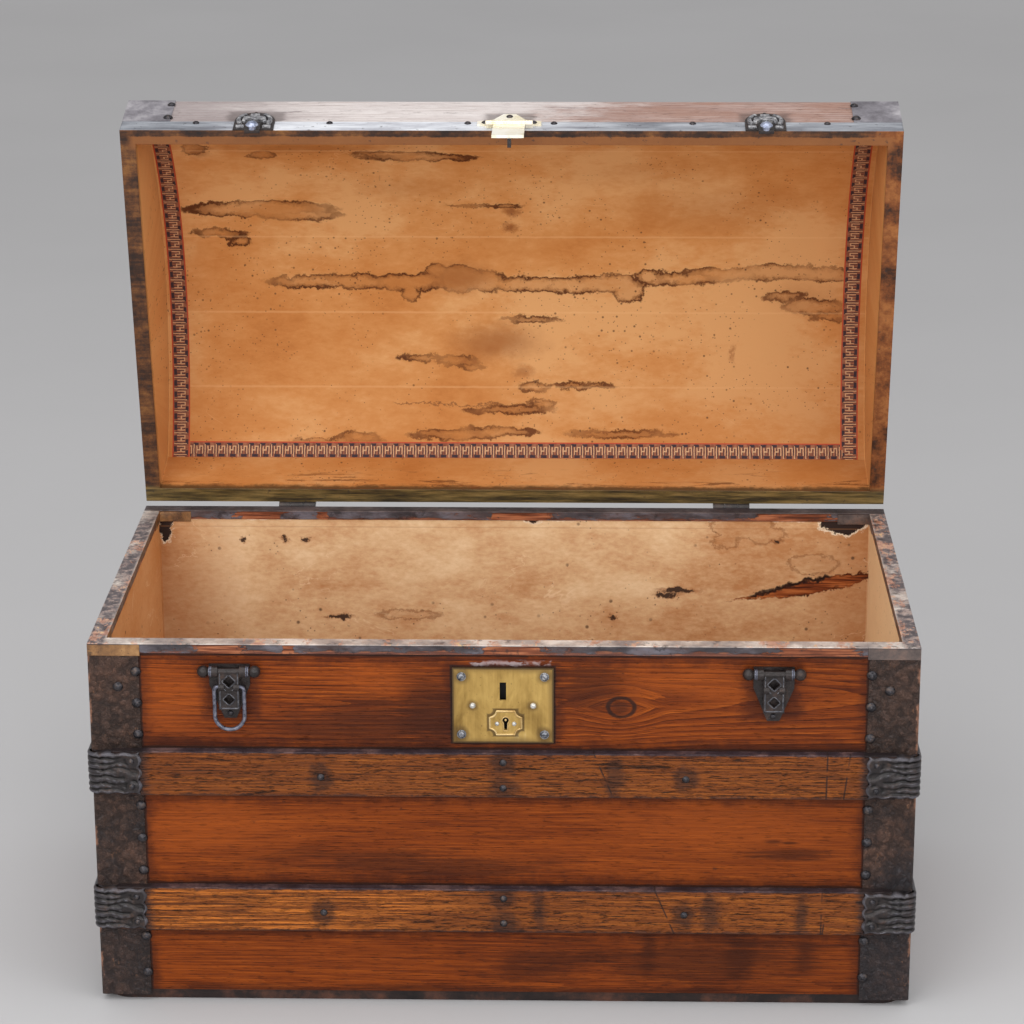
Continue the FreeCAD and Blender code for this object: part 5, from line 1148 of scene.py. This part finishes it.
def build_border(bm):
    """The four printed strips, on the lining of the lid."""
    uv = bm.loops.layers.uv.new("strip")

    def strip(point, stops, across):
        rows = [[(bm.verts.new(point(stop, share)), stop / BORDER_PERIOD, share) for share in across]
                for stop in stops]
        for before, after in zip(rows, rows[1:]):
            for k in range(len(across) - 1):
                corners = (before[k], before[k + 1], after[k + 1], after[k])
                face = bm.faces.new([corner[0] for corner in corners])
                for loop, corner in zip(face.loops, corners):
                    loop[uv].uv = (corner[1], corner[2])

    runs = [-BORDER_EDGE, *[-DOME_TURN + 2 * DOME_TURN * i / 48 for i in range(49)], BORDER_EDGE]
    fold = 1 - (BORDER_EDGE - DOME_TURN) / BORDER_WIDTH

    def outer(side, along):
        lean = 0.5 + 0.5 * along / BORDER_EDGE
        return -0.3866 - 0.0042 * lean if side < 0 else 0.3838 + 0.0028 * lean

    for side in (-1, 1):
        strip(lambda along, share, side=side: lining_point(
            outer(side, along) - side * (1 - share) * BORDER_WIDTH, along), runs, (0.0, 0.5, 1.0))
        inner = 0.3865 - BORDER_WIDTH
        strip(lambda along, share, side=side: lining_point(
            along, side * (BORDER_EDGE - (1 - share) * BORDER_WIDTH)),
            [-inner + 2 * inner * i / 60 for i in range(61)], (0.0, 0.33, fold, 1.0))


# ---------------------------------------------------------------- fluted clamps

CLAMP_TOE = HALF_WIDTH - 0.0495
SLAT_END = HALF_WIDTH - 0.020
CLAMP_OUT = 0.0125
CLAMP_HALF = 0.022
CLAMP_BEND = 0.012
CLAMP_CUT = 0.0021
# Flutes: place across the clamp at the corner, sway and its length and phase towards the toe, reach.
FLUTES = ((-17.2, 1.3, 38, 0.4, 23), (-10.6, 2.9, 46, 2.0, 37), (-3.4, 1.9, 33, 1.0, 24),
          (4.2, 2.6, 41, 5.0, 38), (10.6, 1.6, 29, 3.4, 28), (16.9, 1.4, 36, 2.6, 20))
# Hollows between them: distance back from the corner, place across, length and width.
HOLLOWS = ((27, 14.5, 7.5, 3.4), (24, -13.0, 6.5, 3.2), (35, 2.5, 4.5, 4.0), (14, 3.2, 3.0, 1.6))


def clamp_height(run, corner, across):
    """How deep the casting is cut, 0 to 1, at a distance from its toe and from its middle line."""
    back = max(0.0, corner - run) / MM
    t = across / MM
    cut = 0.0
    for at, sway, length, phase, reach in FLUTES:
        middle = at + sway * math.sin(2 * math.pi * back / length + phase) * min(1.0, back / 10)
        fade = 1.0 if back < reach else max(0.0, 1 - (back - reach) / 5)
        width = 1.15 + 0.05 * back + 0.35 * math.sin(back * 0.9 + at)
        cut += 0.95 * fade * math.exp(-((t - middle) / width) ** 2)
    for at, high, long, wide in HOLLOWS:
        cut += 0.8 * math.exp(-((back - at) / long) ** 2 - ((t - high) / wide) ** 2)
    nail = min(math.hypot(run / MM - 10, t - rise) for rise in (-13.5, 13.5))
    cut *= min(1.0, max(0.0, (nail - 3.6) / 2.0))
    rim = max(0.0, (abs(t) - 19.4) / 2.6)
    toe = max(0.0, 1 - run / (2.2 * MM))
    return min(1.0, max(min(1.0, cut), rim ** 2, toe ** 2))


def build_clamp(bm, place, skin_front, skin_end):
    """One clamp. place(x, out, across) puts its points; out is measured from what it is nailed to."""
    end_x = HALF_WIDTH + skin_end + 0.0038
    front_run = end_x - CLAMP_BEND - CLAMP_TOE
    bend_run = CLAMP_BEND * math.pi / 2
    wing_run = CLAMP_OUT - CLAMP_BEND + 0.035
    whole = front_run + bend_run + wing_run
    columns = 62
    rows = 40
    outer, inner = [], []
    for i in range(columns + 1):
        run = whole * i / columns
        if run <= front_run:
            x, out, normal = CLAMP_TOE + run, CLAMP_OUT, (0.0, 1.0)
            under = (x, 0.010) if x < SLAT_END else (x, skin_front)
        elif run <= front_run + bend_run:
            turn = (run - front_run) / CLAMP_BEND
            normal = (math.sin(turn), math.cos(turn))
            x = end_x - CLAMP_BEND + CLAMP_BEND * normal[0]
            out = CLAMP_OUT - CLAMP_BEND + CLAMP_BEND * normal[1]
            under = (HALF_WIDTH + skin_end, skin_front)
        else:
            x, out, normal = end_x, CLAMP_OUT - CLAMP_BEND - (run - front_run - bend_run), (1.0, 0.0)
            under = (HALF_WIDTH + skin_end, min(skin_front, out))
        column, below = [], []
        for k in range(rows + 1):
            across = CLAMP_HALF * (2 * k / rows - 1)
            lobes = 0.0032 * (1 - abs(math.cos(math.pi * across / 0.0135)))
            shift = lobes * max(0.0, 1 - run / 0.012)
            waist = 1 - 0.05 * (0.5 - 0.5 * math.cos(2 * math.pi * run / 0.017)) * (run < front_run)
            tail = max(0.0, 1 - (whole - run) / 0.003) ** 2
            deep = CLAMP_CUT * max(clamp_height(run, front_run, across), tail)
            column.append(place(x + shift - normal[0] * deep, out - normal[1] * deep, across * waist))
            below.append(place(under[0] + shift, under[1], across * waist))
        outer.append(column)
        inner.append(below)
    top = grid(bm, outer)
    low = [[bm.verts.new(column[0]), bm.verts.new(column[-1])] for column in inner]
    for i in range(columns):
        for k, edge in ((0, 0), (-1, 1)):
            corners = (top[i][k], top[i + 1][k], low[i + 1][edge], low[i][edge])
            if len({tuple(corner.co) for corner in corners}) == 4:
                bm.faces.new(corners)
    for i in (0, columns):
        bm.faces.new([*top[i], low[i][1], low[i][0]])


def build_base_clamps(bm):
    for middle in SLAT_MIDDLES:
        for face in (-1, 1):
            for side in (-1, 1):
                build_clamp(bm, lambda x, out, across: Vector((
                    side * x, face * (-FRONT + out), middle + across)), 0.0012, 0.0012)


DOME_AXIS = Vector((0, 0, DOME_AXIS_Z))
DOME_OUTSIDE = DOME_LINED + 0.015 + 0.001
DOME_SWEEP = 2 * math.asin(-FRONT / (DOME_OUTSIDE - 0.001))  # the staves' whole angle


def build_dome_clamps(bm):
    for seam in range(1, 5):
        tilt = Matrix.Rotation(DOME_SWEEP * (seam / 5 - 0.5), 3, "X")
        for side in (-1, 1):
            build_clamp(bm, lambda x, out, across: swung(
                tilt @ Vector((side * x, across, DOME_OUTSIDE + out)) + DOME_AXIS), 0.0, 0.0)


# ---------------------------------------------------------------- lock, latches and catches

LOCK_FACE = LOCK_LOW.y
KEYHOLE = [(KEY_X + a, b) for a, b in arc((0, KEY_Z), 0.0030, -50, 230, 18)] + [
    (KEY_X - 0.0012, KEY_Z - 0.0102), (KEY_X + 0.0012, KEY_Z - 0.0102)]


def build_lock_screws(bm):
    """Four slotted screws in the corners of the lock plate, each turned its own way."""
    for a in (-1, 1):
        for b in (-1, 1):
            centre = (a * (LOCK_HIGH.x - SCREW_INSET), LOCK_FACE,
                      LOCK_MIDDLE_Z + b * (LOCK_HIGH.z - LOCK_MIDDLE_Z - SCREW_INSET))
            turned(bm, centre, ((0.0046, -0.0004), (0.0046, 0.0006), (0.0043, 0.0012), (0.0038, 0.0013),
                                (0.0034, 0.0008), (0.0033, 0.0014), (0.0030, 0.0020), (0.0024, 0.0024),
                                (0.0018, 0.0026), (0.0012, 0.0027), (0.0007, 0.0027), (0.0003, 0.0027)),
                   sides=48, slot=0.00042, slot_turn=0.5 + a * 0.7 + b * 1.1)


def build_lock_rivets(bm):
    """One rivet at each side of the plate and a smaller one at each side of the keyhole."""
    dome = ((1.0, -0.12), (1.0, 0.12), (0.92, 0.38), (0.74, 0.60), (0.48, 0.76), (0.2, 0.84))
    for a in (-1, 1):
        for size, centre in ((0.0031, (a * (LOCK_HIGH.x - RIVET_INSET), LOCK_FACE, LOCK_MIDDLE_Z)),
                             (0.0023, (KEY_X + a * 0.0084, LOCK_FACE - 0.0018, KEY_Z - 0.0034))):
            turned(bm, centre, [(size * radius, size * rise) for radius, rise in dome], sides=24)


def hollow_cornered(half_x, half_z, notch):
    """The outline of the escutcheon: a rectangle with a round bite out of each corner."""
    outline = []
    for a, b, start in ((1, 1, 270), (-1, 1, 0), (-1, -1, 90), (1, -1, 180)):
        outline += arc((KEY_X + a * half_x, SHIELD_Z + b * half_z), notch, start, start - 90, 6)
    return outline


def build_escutcheon(bm):
    slab(bm, hollow_cornered(SHIELD_HALF_X, SHIELD_HALF_Z, SHIELD_NOTCH), LOCK_FACE - 0.0014,
         LOCK_FACE + 0.0002, hole=KEYHOLE)


def build_escutcheon_rim(bm):
    """Raised lines round the escutcheon and its keyhole, and the pin that the key turns on, painted bright as
    their highlight on rubbed brass.
    """
    points = hollow_cornered(0.0164, 0.0129, 0.0068)
    tube(bm, [(KEY_X + (x - KEY_X) * 0.95, LOCK_FACE - 0.0011, SHIELD_Z + (z - SHIELD_Z) * 0.95)
              for x, z in points], 0.0011, sides=10, closed=True)
    ring = arc((KEY_X, KEY_Z), 0.0037, -55, 235, 20)
    ring += [(KEY_X - 0.0021, KEY_Z - 0.0106), (KEY_X, KEY_Z - 0.0112), (KEY_X + 0.0021, KEY_Z - 0.0106)]
    tube(bm, [(x, LOCK_FACE - 0.0014, z) for x, z in ring], 0.0006, sides=8, closed=True)
    turned(bm, (KEY_X, LOCK_FACE + 0.0008, KEY_Z),
           ((0.0013, -0.0006), (0.0013, 0.0016), (0.0009, 0.0020), (0.0003, 0.0021)), sides=16)


def build_bail(bm):
    """The left latch's wire bail: a round-footed loop whose bent ends sit in the lever's eyes."""
    low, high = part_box("left_latch_bail")
    wire = 0.0020
    middle_x, out = (low.x + high.x) / 2, (low.y + high.y) / 2
    half = (high.x - low.x) / 2 - wire
    pivot = high.z - wire + 0.0004
    foot = low.z + wire + half
    leg = [(half - 0.0062, pivot), (half - 0.0030, pivot), (half - 0.0010, pivot - 0.0009),
           (half, pivot - 0.0034), (half, (pivot + foot) / 2)]
    points = [(-x, z) for x, z in leg] + arc((0, foot), half, 180, 360, 20) + leg[::-1]
    tube(bm, [(middle_x + x, out, z) for x, z in points], wire)


LATCH_Z = RIM_TOP - 0.026
LATCH_FACE = FRONT - 0.0110


def build_lever_lines(bm, middle):
    """Raised lines on a latch lever: a frame along its edges and one round each diamond."""
    for drop, reach in ((0.0096, 0.0072), (0.0282, 0.0066)):
        corners = [(0, reach), (reach, 0), (0, -reach), (-reach, 0)]
        points = []
        for (x1, z1), (x2, z2) in zip(corners, corners[1:] + corners[:1]):
            points += [(middle + x1 + (x2 - x1) * t, LATCH_FACE + 0.0001, LATCH_Z - drop + z1 + (z2 - z1) * t)
                       for t in (0.12, 0.5, 0.88)]
        tube(bm, points, 0.0006, sides=6, closed=True)
    top, foot = LATCH_Z - 0.0008, LATCH_Z - 0.0375
    frame_y = LATCH_FACE + 0.0002
    for x in (-0.0088, 0.0088):
        tube(bm, [(middle + x, frame_y, z) for z in (top, (top + foot) / 2, foot)], 0.0007, sides=6)
    tube(bm, [(middle + x, frame_y, foot) for x in (-0.0088, 0.0, 0.0088)], 0.0007, sides=6)
    for a, b in ((-1, 1), (1, 1)):
        tube(bm, [(middle + a * 0.0066, LATCH_FACE + 0.0001, LATCH_Z - 0.0189 + b * 0.0030),
                  (middle + a * 0.0030, LATCH_FACE + 0.0001, LATCH_Z - 0.0189)], 0.0005, sides=6)


def build_bar_collars(bm, middle):
    """Turned collars beside the balls of a latch bar."""
    for hand in (-1, 1):
        for at, radius in ((0.0172, 0.0050), (0.0188, 0.0046)):
            ring = arc((FRONT - 0.008, LATCH_Z), radius, 0, 342, 19)
            tube(bm, [(middle + hand * at, y, z) for y, z in ring], 0.0007, sides=6, closed=True)


CATCH_BACK = FRONT - 0.001
CATCH_FACE = FRONT - 0.0058


def build_catch_plate(bm, middle):
    """The dark ground of a catch: its arched plate, the tongue under it and the neck of its button."""
    top = (middle, LID_EDGE + 0.0227)
    outline = [(middle + 0.0212, LID_EDGE)] + arc(top, 0.0212, 0, 180, 32) + [(middle - 0.0212, LID_EDGE)]
    slab(bm, outline, CATCH_BACK - 0.0016, CATCH_BACK, place=swung)
    tongue = [(middle + x, LID_EDGE + z) for x, z in (
        (-0.0079, -0.0089), (0.0079, -0.0089), (0.0079, 0.010), (-0.0079, 0.010))]
    slab(bm, tongue, CATCH_FACE, CATCH_FACE + 0.0039, place=swung)
    for x, z in ((0.0, 0.0432), (-0.0100, 0.0400), (0.0100, 0.0400)):
        turned(bm, (middle + x, CATCH_BACK - 0.0014, LID_EDGE + z - 0.0026),
               ((0.0024, 0.0), (0.0022, 0.0010), (0.0014, 0.0017), (0.0004, 0.0020)), place=swung, sides=16)


def build_catch_relief(bm, middle):
    """The bright raised work on a catch: side arcs, a bar under each and the bridge over the half moon."""
    # Its pale finish paints the highlight on this raised work.
    centre = (middle, LID_EDGE + 0.0205)
    band = arc(centre, 0.0188, -38, 58, 20) + arc(centre, 0.0146, 58, -30, 16)
    bar = [(middle + x, LID_EDGE + z) for x, z in (
        (0.0095, 0.0038), (0.0180, 0.0030), (0.0186, 0.0062), (0.0100, 0.0072))]
    for outline, sunk, edge in ((band, 0.0004, 0.0007), (bar, 0.0008, 0.0006)):
        for points in (outline, [(2 * middle - x, z) for x, z in outline][::-1]):
            slab(bm, points, CATCH_FACE + sunk, CATCH_BACK - 0.0010, place=swung, edge=edge)
    side = [(0.0128, 0.0168), (0.0116, 0.0262), (0.0052, 0.0290), (0.0046, 0.0346)]
    bridge = [(middle + x, LID_EDGE + z) for x, z in side + [(-x, z) for x, z in side[::-1]]]
    bridge += arc((middle, LID_EDGE + 0.0085), 0.0118, 142, 38, 12)
    slab(bm, bridge, CATCH_FACE, CATCH_BACK - 0.0010, place=swung, edge=0.0006)


def build_catch_button(bm, middle):
    """The silvered button that the latch's hook takes."""
    nose = (middle, CATCH_FACE, LID_EDGE - 0.0060)
    crown = [(0.0077 * math.cos(math.radians(a)), 0.0044 + 0.0077 * math.sin(math.radians(a)) - 0.0038)
             for a in (30, 38, 46, 55, 64, 74, 84)]
    turned(bm, nose, [(0.0039, -0.0004), (0.0039, 0.0044), (0.0062, 0.0045), *crown], place=swung)


# ---------------------------------------------------------------- leather handles

STRAP_HALF, STRAP_REACH, STRAP_FOOT = 0.085, 0.022, 0.0036
STRAP_SAG = STRAP_REACH - STRAP_FOOT
STRAP_BOW = (STRAP_HALF ** 2 + STRAP_SAG ** 2) / (2 * STRAP_SAG)
STITCH_LINE = 0.0112
STRAP_MIDDLE = (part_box("handle_straps")[0].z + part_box("handle_straps")[1].z) / 2


def strap_point(side, along, across, rise):
    """A point of a handle: along it, up or down from its middle line, and out from its hollow side."""
    turn = along / (STRAP_BOW - 0.002)
    reach = STRAP_BOW - 0.004 + rise
    return Vector((side * (HALF_WIDTH + STRAP_REACH - STRAP_BOW + reach * math.cos(turn)),
                   reach * math.sin(turn), STRAP_MIDDLE + across))


def build_straps(bm):
    """Two bowed leather straps, full in the middle of their width and thin at their sewn edges."""
    length = (STRAP_BOW - 0.002) * math.asin(STRAP_HALF / STRAP_BOW) - 0.0003
    for side in (-1, 1):
        rows = []
        for i in range(61):
            along = length * (2 * i / 60 - 1)
            waist = 1 - 0.07 * math.cos(math.pi * along / (2 * length)) ** 2
            crease = 0.00018 * math.sin(i * 1.9) + 0.00012 * math.sin(i * 4.3 + 1)
            ring = []
            for k in range(36):
                t = 2 * math.pi * k / 36
                a = math.copysign(abs(math.cos(t)) ** 0.35, math.cos(t))
                b = math.sin(t)
                width = 0.0148 * waist * a
                full = 1 - 0.45 * abs(a) ** 6
                groove = 0.00045 * math.exp(-((abs(width) - STITCH_LINE * waist) / 0.0007) ** 2)
                out = 0.0020 + 0.00175 * full * math.copysign(abs(b) ** 0.55, b)
                out += (crease - groove) * (b > 0.3)
                ring.append(strap_point(side, along, width, out))
            rows.append(ring)
        made = grid(bm, rows, True)
        bm.faces.new(made[0][::-1])
        bm.faces.new(made[-1])


def build_stitches(bm):
    """Two rows of stitches on each strap."""
    for side in (-1, 1):
        for edge in (-1, 1):
            for i in range(26):
                middle = -0.066 + 0.132 * i / 25
                waist = 1 - 0.07 * math.cos(math.pi * middle / 0.17) ** 2
                points = [strap_point(side, middle + 0.0018 * t, edge * STITCH_LINE * waist,
                                      0.00335 - 0.0002 * t * t) for t in (-1, -0.5, 0, 0.5, 1)]
                tube(bm, points, lambda k: (0.00018, 0.00042, 0.00048, 0.00042, 0.00018)[k], sides=8)


# ---------------------------------------------------------------- build the scene

make_camera()
make_world(0.74, STUDIO_GREY)
make_lamp("key", (-1.7, -2.5, 2.5), (0, 0, 0.35), (2.2, 1.8), 34)
make_lamp("fill", (2.4, -2.2, 1.7), (0, 0, 0.35), (1.8, 1.8), 20)
make_lamp("front", (0.0, -3.0, 1.2), (0, 0.2, 0.5), (2.8, 1.4), 34)
make_lamp("top", (0.0, -0.5, 3.0), (0, 0.05, 0.3), (2.4, 1.8), 30)

floor = make_floor()

pine_upper = pine_front(
    "stained_pine_upper", spacing=0.0050, heart=(0.012, 0.325), slope=0.05, rings=0.20,
    warm_spots=((-0.335, 0.325, 0.05, 0.05), (-0.12, 0.350, 0.05, 0.02), (0.20, 0.345, 0.10, 0.02)),
    dark_spots=((-0.13, 0.300, 0.12, 0.035), (-0.075, 0.320, 0.035, 0.06), (0.085, 0.340, 0.04, 0.04),
                (-0.33, 0.281, 0.08, 0.012), (0.30, 0.275, 0.10, 0.012)),
    knot=(0.116, 0.3208, 0.013, 0.010))
pine_middle = pine_front(
    "stained_pine_middle", spacing=0.0040, heart=(0.050, 0.13), slope=0.02, rings=0.04,
    warm_spots=((-0.30, 0.19, 0.10, 0.03), (0.22, 0.20, 0.12, 0.03)),
    dark_spots=((-0.10, 0.15, 0.16, 0.018), (0.28, 0.165, 0.05, 0.006),
                (0.267, 0.179, 0.010, 0.002), (0.284, 0.178, 0.006, 0.0015)))
pine_lower = pine_front(
    "stained_pine_lower", spacing=0.0046, heart=(0.030, 0.02), slope=0.035, rings=0.09,
    dark_spots=((0.20, 0.05, 0.12, 0.035), (0.04, 0.045, 0.07, 0.03), (0.145, 0.058, 0.010, 0.024),
                (0.236, 0.050, 0.018, 0.030), (0.302, 0.055, 0.014, 0.026), (0.0, 0.014, 0.38, 0.006)))
pine_back = pine_plain("stained_pine_back", "x")
pine_ends = pine_plain("stained_pine_ends", "y")
oak_base, oak_lid = oak("oak_slats"), oak("oak_dome_slats", lid=True)
sheet_iron = iron_sheet("pressed_sheet_iron")
casting = black_casting("japanned_casting")
carved = black_casting("japanned_relief", carved=True)
small_casting = black_casting("dark_small_casting", srgb(30, 25, 24))
steel = nail_steel("old_nail_steel", srgb(34, 33, 36), srgb(64, 62, 66), srgb(98, 84, 76))
bright_steel = nail_steel("bright_rivet_steel", srgb(150, 150, 150), srgb(206, 204, 198), srgb(232, 228, 220))
# Lighter steel for the levers' raised lines, painted as the highlight along them.
rib_highlight_steel = nail_steel("rib_steel_painted_highlight", srgb(62, 62, 68), srgb(98, 98, 104), srgb(138, 136, 138))
# The catches' raised work is painted pale grey as its highlight, on rubbed metal.
relief_rubbed_painted_highlight = nail_steel("relief_rubbed_painted_highlight", srgb(84, 84, 88), srgb(158, 158, 162), srgb(216, 214, 212))
worn_steel = nail_steel("worn_steel", srgb(88, 92, 100), srgb(140, 142, 148), srgb(184, 182, 180))
silvered = nail_steel("silvered_button", srgb(120, 128, 150), srgb(168, 176, 198), srgb(206, 210, 222))
blue_steel = nail_steel("blued_steel", srgb(70, 72, 82), srgb(110, 112, 126), srgb(144, 142, 150))
old_brass, hasp_brass_painted_glare = brass("old_brass"), brass("hasp_brass_painted_glare", light=True)
# Pale rubbed brass for the escutcheon's rim and key pin, painted bright as their highlight.
highlight_brass = plain_metal("rubbed_brass_painted_highlight", (srgb(176, 140, 84), srgb(216, 186, 128), srgb(238, 216, 168)),
                         0.6, 0.3)
glare_painted_wood = lid_wood("pine_painted_glare")
lid_pine = pine_plain("dome_pine", "x", lid=True)
lid_tin = lid_metal("lid_tin")
rim_tin, cap_tin = rim_metal("rim_tin"), rim_metal("cap_tin", caps=True)
zinc = plain_metal("grey_tin", (srgb(82, 78, 84), srgb(124, 120, 126), srgb(168, 164, 168)), 0.2, lid=True)
bottom_tin = plain_metal("dark_tin", (srgb(20, 16, 17), srgb(44, 31, 28), srgb(92, 58, 44)), 0.2)
iron = plain_metal("hinge_iron_black", (srgb(36, 32, 32), srgb(58, 52, 50), srgb(98, 80, 70)), 0.3)
bare_steel = plain_metal("bare_steel", (srgb(72, 74, 80), srgb(112, 116, 124), srgb(150, 152, 158)), 0.9, 0.3)
# The lock's bolt and case, seen in the keyhole, are painted near black as the shade inside it.
keyhole_shade_iron = plain_metal("lock_iron_painted_shade", (srgb(12, 10, 10), srgb(24, 20, 19), srgb(44, 34, 30)), 0.2, 0.6)
hide = leather("strap_leather_worn")
thread = plain_metal("linen_thread", (srgb(120, 96, 66), srgb(160, 134, 98), srgb(186, 162, 124)), 0.0, 0.8)

finish_nodes(pine_upper, "front_board_upper")
finish_nodes(pine_middle, "front_board_middle")
finish_nodes(pine_lower, "front_board_lower")
finish_nodes(pine_back, "back_boards", "floor_boards")
finish_nodes(pine_ends, "left_end_boards", "right_end_boards")
finish_nodes(base_paper("base_paper"), "base_lining")
finish_nodes(lid_paper("lid_paper"), "lid_lining")
finish_nodes(sheet_iron, "front_left_corner_plate", "front_right_corner_plate", "back_corner_plates")
finish_nodes(casting, "slat_clamps", "dome_slat_clamps", "handle_caps")
finish_nodes(small_casting, "left_latch_plate", "left_latch_lever", "right_latch_plate", "right_latch_lever",
             "left_latch_catch", "right_latch_catch")
finish_nodes(steel, "base_nails", "lid_nails", "latch_rivets", "lock_screws", "lock_rivets")
finish_nodes(bare_steel, "left_latch_bail", "lock_spring", "hinge_pins")
finish_nodes(keyhole_shade_iron, "lock_bolt", "lock_case")
finish_nodes(old_brass, "lock_plate", "keyhole_escutcheon")
finish_nodes(hasp_brass_painted_glare, "hasp_mount", "hasp_pin", "hasp_flap")
finish_nodes(small_casting, "hasp_staple")
finish_nodes(hide, "handle_straps")
finish_nodes(iron, "left_hinge_base_leaf", "right_hinge_base_leaf", "left_hinge_lid_leaf",
             "right_hinge_lid_leaf")
finish_nodes(glare_painted_wood, "lid_front_board")
finish_nodes(lid_pine, "lid_back_board", "lid_left_end", "lid_right_end", "dome_staves")
finish_nodes(oak_lid, "dome_slats")
finish_nodes(lid_tin, "lid_rim_band")
finish_nodes(zinc, "lid_corner_plates", "dome_end_bands")
finish_nodes(bottom_tin, "bottom_band")
finish_nodes(rim_tin, "rim_binding")
finish_nodes(cap_tin, "rim_corner_caps")

border_finish = border_print("border_print")
finish_nodes(border_finish, "lid_border")
new_piece("border_strips", build_border, "lid_border", border_finish)
new_piece("slat_clamps_cast", build_base_clamps, "slat_clamps", carved, 60)
new_piece("dome_clamps_cast", build_dome_clamps, "dome_slat_clamps", carved, 60)
new_piece("lock_screws_slotted", build_lock_screws, "lock_screws", worn_steel, 50)
new_piece("lock_rivets_domed", build_lock_rivets, "lock_rivets", bright_steel, 50)
new_piece("escutcheon_rimmed", build_escutcheon, "keyhole_escutcheon", old_brass, 40)
new_piece("escutcheon_rim", build_escutcheon_rim, "keyhole_escutcheon", highlight_brass, 50, added=True)
new_piece("bail_wire_loop", build_bail, "left_latch_bail", blue_steel, 60)
new_piece("straps_sewn", build_straps, "handle_straps", hide, 60)
new_piece("strap_stitches", build_stitches, "handle_straps", thread, 60, added=True)
for hand, at in zip(("left", "right"), LATCHES_X):
    lever, catch = f"{hand}_latch_lever", f"{hand}_latch_catch"
    for name, build, node, finish, smooth_angle, added in (
            ("lever_lines", build_lever_lines, lever, rib_highlight_steel, 50, True),
            ("bar_collars", build_bar_collars, lever, blue_steel, 60, True),
            ("catch_ground", build_catch_plate, catch, small_casting, 40, False),
            ("catch_relief", build_catch_relief, catch, relief_rubbed_painted_highlight, 40, True),
            ("catch_button", build_catch_button, catch, silvered, 40, True)):
        new_piece(f"{hand}_{name}", lambda bm: build(bm, at), node, finish, smooth_angle, added)
for name in ("front_slat_upper", "front_slat_lower", "back_slats"):
    softened(name, 0.0018, oak_base)
softened("dome_slats", 0.0018, oak_lid)
for name in ("front_left_corner_plate", "front_right_corner_plate", "back_corner_plates"):
    softened(name, 0.0026, sheet_iron, segments=4, only=upright_corner)
for name, finish in (("rim_binding", rim_tin), ("rim_corner_caps", cap_tin), ("lid_rim_band", lid_tin)):
    softened(name, 0.0004, finish)
softened("handle_caps", 0.0022, casting, segments=3)
fuller("base_nails", 1.22, steel)
fuller("lid_nails", 1.18, steel)

bpy.context.scene.view_settings.view_transform = "Standard"
